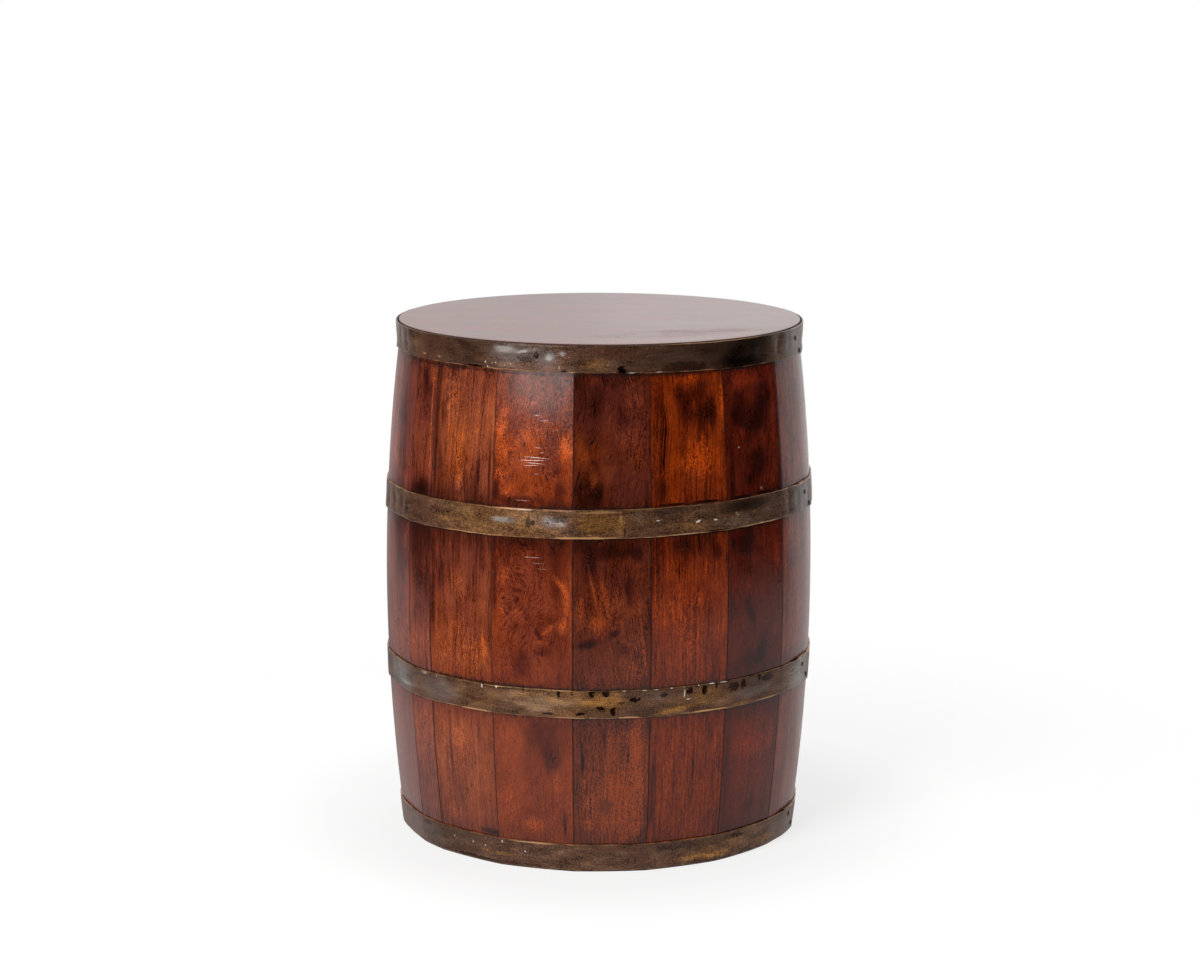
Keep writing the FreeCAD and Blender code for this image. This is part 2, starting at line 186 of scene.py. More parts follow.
class Recipe:
    """A node tree whose nodes are each written as one call."""

    def __init__(self, tree):
        self.tree = tree

    def node(self, kind, *inputs, out=0, named=None, **settings):
        """Add a node, set its properties and its inputs, in order or by name, and give back one output."""
        node = self.tree.nodes.new("ShaderNode" + kind)
        for key, value in settings.items():
            setattr(node, key, value)
        sockets = [socket for socket in node.inputs if socket.enabled]
        for socket, value in zip(sockets, inputs):
            self.put(socket, value)
        for key, value in (named or {}).items():
            self.put(node.inputs[key], value)
        return node.outputs[out]

    def put(self, socket, value):
        """Link a socket to an output, or give it a value."""
        if isinstance(value, bpy.types.NodeSocket):
            self.tree.links.new(value, socket)
        elif value is not None:
            if socket.type == "RGBA":
                value = (*value, 1) if len(value) == 3 else value
            socket.default_value = value

    def read(self, name):
        """A vector that the mesh stores at its points."""
        return self.node("Attribute", out="Vector", attribute_name=name)

    def split(self, vector):
        """The three parts of a vector."""
        return self.node("SeparateXYZ", vector).node.outputs

    def math(self, operation, *values):
        """One operation on numbers or fields."""
        return self.node("Math", *values, operation=operation)

    def times(self, first, second):
        """The product of two fields."""
        return self.math("MULTIPLY", first, second)

    def plus(self, base, field, weight):
        """A base and a field that is added to it by its weight."""
        return self.math("MULTIPLY_ADD", field, weight, base)

    def stretch(self, vector, scale, shift=(0, 0, 0)):
        """Scale a place, so that a texture runs at its own period along each axis."""
        return self.node("VectorMath", vector, scale, shift, operation="MULTIPLY_ADD")

    def cloud(self, vector, periods, detail=2.0, roughness=0.5, distortion=0.0, shift=(0, 0, 0), out="Fac"):
        """Noise with a period along each axis, in the units of the place that it reads."""
        place = self.stretch(vector, tuple(1 / period for period in periods), shift)
        return self.node("TexNoise", out=out, named={"Vector": place, "Scale": 1.0, "Detail": detail,
                                                     "Roughness": roughness, "Distortion": distortion})

    def wander(self, place, periods, reach, share=None):
        """The place, led to and fro by up to half a reach, so that grain drawn on it runs in curves."""
        drift = self.cloud(place, periods, out="Color")
        drift = self.node("VectorMath", drift, (-0.5, -0.5, -0.5), operation="ADD")
        if share is not None:
            drift = self.node("VectorMath", drift, named={"Scale": share}, operation="SCALE")
        return self.stretch(drift, reach, place)

    def step(self, value, low, high, to_low=0.0, to_high=1.0):
        """A smooth step between two levels."""
        return self.node("MapRange", value, low, high, to_low, to_high, interpolation_type="SMOOTHSTEP")

    def blend(self, factor, base, top, how="MIX"):
        """Lay one colour on another; a mix's third output is its colour."""
        return self.node("Mix", factor, base, top, out=2, data_type="RGBA", blend_type=how)

    def spot(self, vector, place, size, tilt=0.0):
        """A soft round or long spot at a place on a face, 1 in its middle and 0 at its edge."""
        mapping = self.node("Mapping", vector, (place[0], 0, place[1]), (0, math.radians(tilt), 0),
                            (size[0], RIGHT_THROUGH, size[1]), vector_type="TEXTURE")
        return self.node("TexGradient", mapping, out="Fac", gradient_type="SPHERICAL")

    def level(self, base, *parts):
        """A base level plus fields that vary about 0.5, each with its own weight."""
        total = base - sum(weight for field, weight in parts) / 2
        for field, weight in parts:
            total = self.plus(total, field, weight)
        return total

    def marks(self, vector, marks, mean_azimuth, uneven=None, sharp=0.9, low=0.02):
        """The sum of a list of marks, each rising from low to sharp and broken up by uneven."""
        total = 0.0
        for azimuth, height, half_width, half_height, strength, *lean in marks:
            across = math.radians(turned(azimuth - mean_azimuth)) * belly_radius / MM
            soft = self.spot(vector, (across, height), (half_width, half_height), *lean)
            if uneven is not None:
                soft = self.times(soft, uneven)
            total = self.math("ADD", total, self.step(soft, low, sharp, 0.0, strength))
        return total

    def ramp(self, value, *stops):
        """Colours along a scale, each given with its level."""
        node = self.node("ValToRGB", value).node
        elements = node.color_ramp.elements
        elements[0].position, elements[-1].position = stops[0][0], stops[-1][0]
        for element, (level, colour) in zip((elements[0], elements[-1]), (stops[0], stops[-1])):
            element.color = (*colour, 1)
        for level, colour in stops[1:-1]:
            elements.new(level).color = (*colour, 1)
        return node.outputs[0]

    def bump(self, height, distance, normal=None):
        """Turn a height between 0 and 1 into a bumped normal."""
        return self.node("Bump", named={"Strength": 1.0, "Distance": distance, "Height": height,
                                        "Normal": normal})


class Finish(Recipe):
    """A material written as a recipe."""

    def __init__(self, name):
        self.material = bpy.data.materials.new(name)
        self.material.use_nodes = True
        super().__init__(self.material.node_tree)

    def done(self, colour, roughness, normal=None, metallic=0.0):
        """Join the fields to the shader and give back the material."""
        shader = self.tree.nodes["Principled BSDF"]
        for name, value in {"Base Color": colour, "Roughness": roughness, "Normal": normal,
                            "Metallic": metallic}.items():
            self.put(shader.inputs[name], value)
        return self.material


# Each stave's look: its tone, how far its figure swirls, and the marks on its face. Glow and dark lighten
# and darken it; many are the wood's figure, but some are painted reflections of the studio in the lacquer,
# and many dark ones next to the hoops are painted shade. Warm and cool tint it, and some cool ones are a
# painted reflection haze. Line is dark grain and scratch is pale scuffs, the broad faint one on stave_03 a
# painted reflection of the soft lamp; crisp is how strong its finest grain is low on the stave. A mark is
# given by its azimuth and height, half its width and height, its strength and, where it leans, its lean.
# Lengths are in mm and angles in degrees.
PLAIN_SWIRLS = (0.1, 0.15, 0.5)
PLAIN_TONES = [(0.15, 0.026, 0.008), (0.18, 0.034, 0.011), (0.165, 0.027, 0.008), (0.11, 0.018, 0.006),
               (0.17, 0.024, 0.005), (0.13, 0.019, 0.006)]
STAVE_LOOKS = {
    "stave_18": ((0.15, 0.03, 0.019), 0.1, {
        "glow": [(-66, 178, 80, 50, 0.3)],
        "dark": [
            (-64, 336, 16, 10, 0.5), (-64, 250, 26, 26, 0.4), (-64, 290, 60, 60, 0.45),
            (-64, 390, 30, 60, 0.3)],
    }),
    "stave_01": ((0.135, 0.026, 0.014), 0.0, {
        "glow": [
            (-51.1, 400, 1.6, 36, 1.0, -1), (-50.6, 362, 1.5, 30, 0.8, -1), (-50.5, 188, 1.0, 34, 0.6),
            (-55.4, 379.5, 1.4, 1.0, 0.9), (-52, 421, 14, 14, 0.6), (-54, 185, 60, 40, 0.2),
            (-54, 110, 60, 50, 0.3)],
        "dark": [
            (-54, 412, 14, 18, 0.35), (-54, 210, 16, 22, 0.4), (-53, 240, 18, 34, 0.6),
            (-54, 420, 12, 10, 0.4), (-54.5, 262, 24, 50, 0.3), (-54, 290, 60, 60, 0.4),
            (-56.5, 365, 9, 50, 0.35), (-53, 414, 14, 30, 0.25), (-53.5, 326, 16, 12, 0.6)],
    }),
    "stave_02": ((0.165, 0.0305, 0.0105), 0.15, {
        "glow": [
            (-39, 248, 14, 22, 0.45), (-31, 195, 7, 18, 0.6), (-39, 212, 14, 16, 0.4),
            (-40, 352, 9, 55, 0.5), (-43, 398, 12, 34, 0.4), (-39.6, 336, 4, 13, 0.8),
            (-34, 385, 4, 40, 0.35), (-44, 415, 20, 20, 0.2), (-39, 182, 90, 36, 0.25),
            (-36, 192, 22, 32, 0.3), (-40, 108, 12, 26, 0.35), (-42, 100, 70, 60, 0.25),
            (-37, 62, 14, 26, 0.25), (-43, 40, 14, 14, 0.35)],
        "warm": [(-40, 370, 40, 70, 0.4)],
        "cool": [(-39, 240, 60, 60, 0.4)],
        "dark": [
            (-31, 270, 6, 18, 0.45), (-46, 388, 6, 9, 0.4), (-46, 250, 9, 26, 0.45),
            (-39, 292, 90, 62, 0.45), (-46.5, 360, 8, 50, 0.25), (-48.6, 385, 4.5, 90, 0.8),
            (-48.4, 232, 5, 70, 0.8), (-33.2, 345, 3, 22, 0.6), (-29.6, 350, 2.5, 40, 0.5),
            (-44.4, 286, 2.5, 22, 0.5), (-43.4, 100, 3, 44, 0.6), (-33.4, 116, 2, 20, 0.6),
            (-31, 29, 18, 4, 0.9), (-40, 432, 5, 4, 0.9)],
    }),
    "stave_03": ((0.186, 0.0285, 0.0078), 0.9, {
        "glow": [
            (-11.5, 388, 11, 9, 0.5), (-25, 230, 8, 22, 0.4), (-18, 40, 14, 11, 0.3),
            (-26.4, 387, 8, 22, 0.75, 12), (-8.8, 370, 9, 17, 0.95), (-26.8, 347, 7, 9, 0.7),
            (-24.5, 331, 10, 8, 0.5, 30), (-18, 372, 22, 30, 0.3, 40), (-9.6, 254, 4, 14, 0.85, -38),
            (-8.3, 240, 4, 22, 0.65), (-17, 40, 16, 12, 0.35), (-9.2, 219, 7, 12, 0.8),
            (-25.5, 368, 14, 20, 0.45), (-15, 388, 14, 16, 0.35), (-24, 180, 16, 30, 0.25),
            (-12.6, 216, 3, 12, 0.6, 50), (-24, 262, 10, 18, 0.4, 20), (-20.5, 226, 12, 8, 0.4, 40),
            (-11, 80, 6, 12, 0.4), (-24, 60, 12, 30, 0.2)],
        "dark": [
            (-10, 420, 8, 10, 0.3), (-20, 336, 8, 9, 0.3), (-20, 370, 7, 9, 0.3), (-10.5, 352, 6, 9, 0.35),
            (-10, 336, 8, 10, 0.6), (-10.8, 250, 7, 24, 0.3), (-18, 300, 90, 50, 0.3),
            (-10.5, 290, 14, 60, 0.5), (-10, 205, 12, 50, 0.3), (-12, 112, 22, 30, 0.4),
            (-19, 96, 16, 22, 0.25), (-27.6, 332, 5, 14, 0.8), (-20, 324, 26, 7, 0.5),
            (-20.5, 184, 18, 18, 0.45), (-15.6, 211, 3.5, 10, 0.7, -32), (-27.5, 250, 3.5, 50, 0.6),
            (-19, 289, 26, 7, 0.6), (-17, 120, 15, 24, 0.32, 10), (-12.5, 99, 12, 20, 0.45, -10),
            (-9, 42, 2.6, 18, 0.95), (-19, 283.5, 20, 0.8, 0.7), (-14, 196, 10, 8, 0.4),
            (-23, 418, 16, 14, 0.3)],
        "warm": [(-25, 370, 14, 50, 0.5), (-9, 365, 10, 30, 0.5), (-18, 335, 40, 24, 0.5)],
        # The upper cool mark is a painted reflection haze.
        "cool": [(-16, 415, 40, 40, 0.5), (-18, 230, 50, 90, 0.5)],
        # The first scratch, broad and faint, is a painted reflection of the soft lamp; the rest are scuffs.
        "scratch": [
            (-16, 430, 36, 46, 0.05), (-16.6, 396.5, 4, 0.3, 0.7, 2), (-14.8, 392.3, 6, 0.3, 0.7, -3),
            (-16, 369.5, 4, 0.3, 0.7, 3), (-15, 365.5, 2, 0.3, 0.5), (-16.6, 361.2, 15, 0.34, 1.0, 2),
            (-17.6, 358.8, 15, 0.34, 1.0, -2), (-16.9, 356.4, 11, 0.34, 1.0, 2),
            (-17.9, 354.4, 9, 0.3, 0.8, -4), (-17.3, 276.6, 10, 0.3, 0.5), (-15.7, 271.8, 7, 0.3, 0.28),
            (-14.4, 267, 6, 0.3, 0.22), (-20, 324.5, 9, 0.3, 0.35), (-16.5, 347.5, 4, 0.3, 0.4)],
    }),
    "stave_04": ((0.1, 0.016, 0.0062), 0.7, {
        "crisp": 1.8,
        "glow": [
            (6, 380, 12, 18, 0.5), (10, 180, 8, 12, 0.4), (8, 122, 12, 14, 0.4), (10.5, 40, 7, 11, 0.5),
            (-4.6, 366, 10, 40, 0.35, -20), (-2.6, 352, 7, 26, 0.7, -18), (-0.2, 340, 6, 16, 0.7, -20),
            (8.5, 415, 15, 24, 0.5), (9.5, 372, 16, 44, 0.35), (2.5, 236, 26, 34, 0.45),
            (10, 215, 16, 60, 0.3), (10.5, 90, 12, 70, 0.6), (-1, 110, 20, 30, 0.2), (10, 80, 9, 60, 0.3),
            (10, 100, 10, 80, 0.4), (10, 42, 9, 14, 0.4), (5, 240, 8, 14, 0.3), (0, 220, 12, 14, 0.6),
            (3, 395, 12, 24, 0.2, -30), (4, 70, 40, 70, 0.85), (4, 150, 40, 60, 0.3),
            (-1.4, 250, 2.6, 34, 0.9, -12), (1.8, 240, 3, 30, 0.8, -12), (-4.6, 230, 6, 26, 0.6),
            (0, 222, 10, 8, 0.8), (11.6, 196, 2, 38, 0.7, -6), (8, 182, 10, 18, 0.35),
            (9.6, 115, 3.4, 20, 1.0, -9), (11.4, 74, 2.4, 16, 0.8, -6), (6, 70, 16, 44, 0.25),
            (-3, 60, 4, 40, 0.6, -6), (8, 32, 12, 16, 0.4)],
        "dark": [
            (-3, 354, 8, 12, 0.5), (0, 336, 6, 12, 0.5), (10, 280, 7, 10, 0.5), (2.5, 60, 10, 12, 0.4),
            (-0.5, 408, 10, 22, 0.7), (-2, 348, 10, 18, 0.5), (0, 336, 6, 10, 0.5), (-2, 266, 10, 20, 0.5),
            (2, 60, 10, 12, 0.35), (-4, 375, 18, 90, 0.5), (-2, 332, 18, 22, 0.5), (-4, 292, 16, 50, 0.6),
            (9, 292, 18, 24, 0.35), (-5, 331, 8, 16, 0.9), (4, 400, 34, 40, 0.3), (4, 345, 40, 50, 0.2),
            (-2.6, 204, 15, 6, 0.85, -14), (4, 213, 8, 5, 0.7, -20), (3, 283, 30, 12, 0.6),
            (8, 250, 8, 20, 0.5), (1.6, 118, 3, 17, 0.7, -4), (0, 100, 14, 30, 0.25),
            (12.2, 330, 3, 24, 0.5)],
        # The cool marks are a painted reflection haze down the stave's right side.
        "cool": [(6, 405, 30, 50, 0.9, -20), (8, 335, 16, 30, 0.5)],
        "warm": [(-3, 360, 16, 50, 0.8, -20), (0, 235, 14, 40, 0.3)],
        "line": [
            (-4.2, 104, 2.6, 60, 1.0, -7), (-2.6, 62, 5.4, 60, 1.0, -6), (-5.6, 80, 1.4, 60, 0.8, -3),
            (-3.6, 415, 5, 40, 0.6)],
    }),
    "stave_05": ((0.19, 0.0225, 0.0028), 0.1, {
        "crisp": 1.6,
        "glow": [
            (26, 404, 6, 9, 0.5), (26, 240, 8, 12, 0.3), (23.5, 422, 18, 12, 0.3), (22, 228, 30, 30, 0.3),
            (26, 240, 8, 14, 0.3), (27, 358, 24, 26, 0.9), (34.2, 408, 3.5, 26, 0.6),
            (26, 426, 22, 7, 0.5), (18, 340, 6, 26, 0.3), (14.8, 240, 5, 34, 0.5),
            (28.6, 265, 0.8, 15, 0.7), (24, 205, 16, 30, 0.3), (22, 283, 8, 0.8, 0.6),
            (19, 90, 8, 30, 0.25), (32.4, 110, 1.2, 16, 0.6)],
        "dark": [
            # The thin dark marks at heights 321 to 322 are painted shadow in the gap above the upper belly
            # hoop.
            (31.5, 390, 7, 18, 0.6), (18, 336, 12, 10, 0.4), (19, 321.6, 16, 1.5, 2.0),
            (29, 322.0, 16, 1.5, 2.0), (32, 279, 8, 12, 0.7), (31, 400, 9, 18, 1.1),
            (16, 408, 8, 24, 0.25), (16.5, 333, 12, 16, 0.4), (24, 345, 20, 16, 0.15),
            (24, 288, 50, 26, 0.3), (24.5, 404, 20, 26, 0.9), (28.4, 392, 9, 16, 0.7),
            (21, 418, 8, 16, 0.6), (29, 420, 9, 16, 0.5), (22, 285, 14, 10, 0.45), (14.6, 72, 5, 50, 0.7),
            (16, 243, 1.4, 1.2, 1.0), (31, 120, 5, 16, 0.35), (26, 90, 2, 40, 0.35)],
        "line": [
            (17.5, 380, 12, 60, 0.9), (30, 360, 8, 60, 0.4), (16, 270, 8, 30, 0.5),
            (24, 240, 20, 60, 0.35), (18, 80, 10, 60, 0.4)],
    }),
    "stave_06": ((0.102, 0.0085, 0.0015), 0.6, {
        "glow": [
            (48, 421, 22, 9, 0.5), (53.5, 370, 6, 9, 0.4), (53.5, 268, 6, 18, 0.4),
            (53.5, 200, 6, 10, 0.4), (53.5, 106, 7, 22, 0.5), (38.5, 100, 8, 12, 0.35),
            (41, 422, 16, 14, 1.1), (54, 385, 5, 44, 0.5), (41, 371, 12, 10, 0.15),
            (48.5, 370, 12, 12, 0.5), (53.5, 350, 10, 30, 0.35), (53.5, 256, 8, 40, 0.3),
            (46, 112, 50, 30, 0.45), (46, 100, 36, 16, 0.4), (51, 335, 12, 14, 0.3),
            (42, 245, 8, 14, 0.3, 20), (53, 100, 4, 14, 0.4), (46, 75, 40, 60, 0.45)],
        "dark": [
            (43, 370, 9, 10, 0.6), (53, 404, 8, 10, 0.5), (44, 336, 12, 10, 0.5), (44, 180, 24, 12, 0.45),
            # The thin dark marks at heights 322 to 323 are painted shadow in the gap above the upper belly
            # hoop.
            (40, 322.4, 14, 1.5, 2.0), (49, 323, 16, 1.5, 2.0), (45.5, 380, 14, 18, 0.5),
            (48, 391, 16, 20, 0.45), (48, 190, 9, 22, 0.5, 8), (53, 40, 6, 14, 0.3),
            (40, 279, 26, 14, 0.4), (43.5, 386, 12, 14, 0.8), (48, 388, 10, 12, 0.3),
            (44, 335, 24, 12, 0.35), (41, 286, 26, 22, 0.5), (43, 401, 24, 10, 0.6, 35),
            (39.4, 392, 12, 16, 0.9), (50.5, 408, 12, 30, 0.8), (46, 350, 20, 18, 0.9, 10),
            (37, 340, 5, 60, 0.6), (38, 286, 10, 8, 0.25), (47.5, 184, 12, 14, 0.4, 20),
            (43, 224, 8, 22, 0.5, -20), (46, 46, 14, 11, 0.6), (36.5, 90, 5, 70, 0.4),
            (49, 380, 22, 18, 0.15)],
        "scratch": [(39.6, 364.5, 1.2, 0.9, 0.8), (47.5, 327, 2, 2, 0.3, 30)],
    }),
    # Its pale violet tone is partly a painted reflection of the white sweep, seen at a grazing angle.
    "stave_07": ((0.2, 0.042, 0.028), 0.1, {}),
}


JOINT_BLACK = (0.01, 0.004, 0.003)
# Grime, and painted shadow in the gap along the hoops.
HOOP_GRIME_AND_SHADOW = (0.018, 0.008, 0.005)
# Pale scuffs, and one painted reflection of the soft lamp.
SCUFF_AND_REFLECTION_PALE = (0.8, 0.62, 0.56)
WARM_STAIN = (1.06, 1.02, 0.6)
# A cool stain, and painted reflection haze.
COOL_STAIN_AND_REFLECTION = (0.93, 1.02, 1.4)
MARK_DEPTH = 0.42


def stave_wood(name, number):
    """Lacquered hardwood; a place is (across, depth, height) in mm on the stave."""
    draw = random.Random(number * 7)
    plain = (draw.choice(PLAIN_TONES), draw.choice(PLAIN_SWIRLS), {})
    tone, swirl, marks = STAVE_LOOKS.get(name, plain)
    red, green, blue = tone
    mean = sum(stave_spans[name]) / 2
    wood = Finish(name + "_lacquered")
    place = wood.read("place")
    height = wood.split(place)[2]
    to_joint, to_hoop = wood.split(wood.read("edges"))[:2]

    def drawn(kind, *how):
        return wood.marks(place, marks.get(kind, []), mean, *how)

    # The wood's fields: the figure runs straighter low on the stave.
    calm = wood.step(height, 120, 230, 0.3, 1.0)
    grain = wood.wander(place, (42, 42, 90), (6 + 60 * swirl, 0, 50 * swirl), calm)
    bands = wood.cloud(grain, (9, 9, 240), detail=3, roughness=0.6)
    streaks = wood.cloud(grain, (1.15, 1.15, 54 - 42 * swirl), detail=3, roughness=0.75)
    wash = wood.cloud(place, (34, 34, 60), detail=3, roughness=0.55, shift=(7, 3, 1))
    pores = wood.step(wood.cloud(grain, (0.8, 0.8, 30 - 20 * swirl)), 0.3, 0.4, 1.0, 0.0)
    fibres = wood.cloud(grain, (0.9, 0.9, 6 - 4 * swirl), detail=3, roughness=0.8)
    flecks = wood.cloud(place, (1.3, 1.3, 1.5), roughness=0.8)
    mottle = wood.cloud(place, (15, 15, 18), detail=4, roughness=0.6)
    curl = wood.cloud(grain, (5, 5, 9), detail=4, roughness=0.7, distortion=1.6)
    curl = wood.plus(0.5, wood.math("SUBTRACT", curl, 0.5), calm)

    # How light the lacquer is: the fields together, painted shade beside the hoops, then the marks.
    figure = wood.level(0.0, (bands, 0.4 - 0.25 * swirl), (mottle, 0.3), (wash, 0.5), (curl, 0.6 * swirl))
    fine = wood.level(0.0, (streaks, 0.8 - 0.35 * swirl), (fibres, 0.7), (flecks, 0.5))
    fine = wood.plus(fine, pores, -0.22)
    sparkle = wood.math("MAXIMUM", wood.level(0.95, (fibres, 4.5), (flecks, 4.5), (streaks, 2.5)), 0.1)
    uneven = wood.math("MAXIMUM", wood.level(1.0, (mottle, 2.6), (curl, 1.6)), 0.15)
    level = wood.step(wood.plus(to_hoop, mottle, -24.0), -14.0, 6.0, 0.38, 0.5)
    level = wood.plus(level, figure, wood.step(height, 120, 330, 0.85, 1.35))
    level = wood.plus(level, fine, wood.step(height, 120, 330, 0.85 * marks.get("crisp", 1.0), 1.35))
    # Glow and dark marks: the wood's figure, with painted reflections and painted shade among them.
    level = wood.plus(level, wood.times(drawn("glow"), sparkle), MARK_DEPTH)
    level = wood.plus(level, wood.times(drawn("dark", uneven), sparkle), -MARK_DEPTH)
    if "line" in marks:
        lines = wood.step(wood.cloud(grain, (1.6, 1.6, 90)), 0.42, 0.5, 1.0, 0.0)
        level = wood.plus(level, wood.times(lines, drawn("line")), -0.4)
    colour = wood.ramp(level, (0.0, (0.08 * red, 0.08 * green, 0.08 * blue)),
                       (0.3, (0.42 * red, 0.36 * green, 0.4 * blue)), (0.5, tone),
                       (0.72, (1.55 * red, 1.7 * green, 1.2 * blue)),
                       (1.0, (3.0 * red, 3.1 * green, 1.6 * blue)))

    # Warm and cool stain, the cool in places a painted reflection haze; scuffs, one a painted reflection;
    # grime and painted shadow along the hoops, and grime in the joints.
    stain = wood.cloud(place, (24, 24, 40), detail=3, roughness=0.6, shift=(2, 9, 4))
    stain = wood.math("ADD", wood.level(0.5, (stain, 1.8), (mottle, 0.5)), drawn("cool"))
    stain = wood.node("Clamp", wood.math("SUBTRACT", stain, drawn("warm")))
    colour = wood.blend(1.0, colour, wood.blend(stain, WARM_STAIN, COOL_STAIN_AND_REFLECTION), "MULTIPLY")
    # Scuffs, and one broad painted reflection on stave_03.
    scuffs = drawn("scratch", wood.level(0.8, (fibres, 3.0), (flecks, 3.0)), 0.5)
    colour = wood.blend(scuffs, colour, SCUFF_AND_REFLECTION_PALE)
    ragged = wood.cloud(place, (4, 4, 5), detail=3)
    joint = wood.step(wood.plus(to_joint, ragged, -1.2), -0.5, 0.25, 0.9, 0.0)
    # Grime and painted shadow right along the hoop edges.
    grime_and_shadow = wood.step(wood.plus(to_hoop, ragged, -6.0), -3.0, 0.0, 0.9, 0.0)
    colour = wood.blend(grime_and_shadow, colour, HOOP_GRIME_AND_SHADOW)
    colour = wood.blend(joint, colour, JOINT_BLACK)
    peel = wood.cloud(place, (2.6, 2.6, 3.4))
    normal = wood.bump(fibres, 0.04 * MM, wood.bump(peel, 0.09 * MM))
    roughness = wood.math("MAXIMUM", wood.step(mottle, 0.3, 0.7, 0.13, 0.22), wood.times(joint, 0.7))
    return wood.done(colour, roughness, normal)


CROZE_ROOM = 0.3 * MM
CROZE_FLANK = 0.8 * MM
ROW_STEP = 4 * MM
head_low, head_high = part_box("bottom_board_middle")


def stave_rows():
    """Heights of a stave's rows, with the inner radius at each; the croze is cut between the flanks."""
    floor, ceiling = head_low.z, head_high.z + CROZE_ROOM
    croze = [(floor - CROZE_FLANK, False), (floor, True), (ceiling, True), (ceiling + CROZE_FLANK, False)]
    count = round((stave_top - stave_base) / ROW_STEP)
    plain = [stave_base + (stave_top - stave_base) * index / count for index in range(count + 1)]
    plain = [(height, False) for height in plain
             if height < croze[0][0] - ROW_STEP / 2 or height > croze[3][0] + ROW_STEP / 2]
    return [(height, head_high.x + CROZE_ROOM if cut else wall_radius(height, -STAVE_THICKNESS))
            for height, cut in sorted(plain + croze)]


# How steeply each hoop climbs to the right, because the two belly hoops were driven on a little askew.
HOOP_TILTS = {"rim_hoop": 0.0, "upper_belly_hoop": 0.0144, "lower_belly_hoop": 0.005, "foot_hoop": 0.0}
hoop_edges = [(hoop, corner.z) for hoop in HOOP_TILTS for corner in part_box(hoop)]


def hoop_rise(hoop, azimuth):
    """How far a tilted hoop rises at an azimuth."""
    return HOOP_TILTS[hoop] * math.sin(math.radians(azimuth)) * belly_radius


# A stave's section has ACROSS flat steps, the outermost at NEAR_EDGE, and its long edges are rounded over a
# knee. Staves stand back from each other by up to MOST_SET_BACK; PLANE_MARKS is how uneven their faces are.
ACROSS = 20
NEAR_EDGE = 0.985
JOINT_GAP = 0.06 * MM
EDGE_ROUNDING = 0.4 * MM
KNEE = 0.3
MOST_SET_BACK = 0.3 * MM
PLANE_MARKS = 0.12 * MM


def build_stave(name, number):
    """Loft one stave's section up its height."""
    left, right = stave_spans[name]
    middle = (left + right) / 2
    half = (right - left) / 2
    set_back = MOST_SET_BACK * random.Random(number).random()
    rows = stave_rows()
    shares = [-1, -NEAR_EDGE] + [2 * index / ACROSS - 1 for index in range(2, ACROSS - 1)] + [NEAR_EDGE, 1]
    points, places, edges = [], [], []
    for height, inner in rows:
        round_radius = wall_radius(height)
        gap = math.degrees(JOINT_GAP / round_radius)
        rounding = math.degrees(EDGE_ROUNDING / round_radius)
        outer = []
        for share in shares:
            offset = (half - gap - rounding) * share
            radius = face_radius(middle + offset, height) - set_back
            across = math.radians(offset) * belly_radius
            radius += PLANE_MARKS * ripple(number, across, height, 0.03, 0.09)
            outer.append((offset, radius))
        corner = (half - gap, outer[-1][1] - EDGE_ROUNDING)
        knee = (half - gap - KNEE * rounding, outer[-1][1] - KNEE * EDGE_ROUNDING)
        inside = [(half - gap) * (1 - 2 * index / ACROSS) for index in range(ACROSS + 1)]
        section = outer + [knee, corner] + [(offset, inner) for offset in inside]
        section += [(-corner[0], corner[1]), (-knee[0], knee[1])]
        for offset, radius in section:
            points.append(at(middle + offset, radius, height))
            across = math.radians(offset) * belly_radius / MM
            places.append((across, (round_radius - radius) / MM + GRAIN_STEP * number, height / MM))
            to_joint = math.radians(half - abs(offset)) * belly_radius / MM
            to_hoop = min(abs(height - hoop_rise(hoop, middle + offset) - edge)
                          for hoop, edge in hoop_edges) / MM
            edges.append((to_joint, to_hoop, 0))
    size = len(points) // len(rows)
    faces = quads_between(len(rows), size)
    # Each end is a strip of quads between the outer and the inner face, and one more at each long edge.
    for row, flip in ((0, True), (len(rows) - 1, False)):
        start = row * size
        back = start + ACROSS + 3 + ACROSS
        ends = [[start + index, start + index + 1, back - index - 1, back - index]
                for index in range(ACROSS)]
        ends.append([start + ACROSS + index for index in range(4)])
        ends.append([start, back, back + 1, back + 2])
        faces += [face[::-1] if flip else face for face in ends]
    return new_mesh(name + "_planed", points, faces, place=places, edges=edges)


for number, name in enumerate(STAVES, start=1):
    stave = new_piece(name + "_planed", build_stave(name, number), stave_wood(name, number))
    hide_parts(name)


# --- Bottom boards ------------------------------------------------------------------------------------
# Three plain sawn boards held in the staves' croze, with no glue or nails. They carry nothing and are
# left unfinished.

def sawn_wood(name, dark, light, pores=None, grain="X"):
    """Bare board, its grain along an axis; a place is the object's own position in metres."""
    def periods(along, across):
        return (along, across, across) if grain == "X" else (across, along, across)

    wood = Finish(name)
    place = wood.node("TexCoord", out="Object")
    rings = wood.cloud(place, periods(0.2, 0.006), detail=3, roughness=0.6)
    fibres = wood.cloud(place, periods(0.012, 0.0009))
    colour = wood.blend(wood.step(rings, 0.35, 0.65), dark, light)
    colour = wood.blend(wood.step(fibres, 0.3, 0.55, 0.4, 0.0), colour, pores or dark)
    return wood.done(colour, wood.step(fibres, 0.3, 0.7, 0.75, 0.6), wood.bump(fibres, 0.2 * MM))


def coat(node, material):
    """Give its material to a piece that keeps its sawn or turned shape."""
    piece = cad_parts[node]
    piece.data.materials.clear()
    piece.data.materials.append(material)


board_wood = sawn_wood("sawn_board", (0.2, 0.1, 0.05), (0.4, 0.23, 0.12))
for place in ("front", "middle", "rear"):
    coat(f"bottom_board_{place}", board_wood)


# --- Top boards ---------------------------------------------------------------------------------------
# Three boards glued edge to edge and turned to a disc whose edge is taken off by a small round. The face
# is filled and lacquered so smooth that no joint shows.

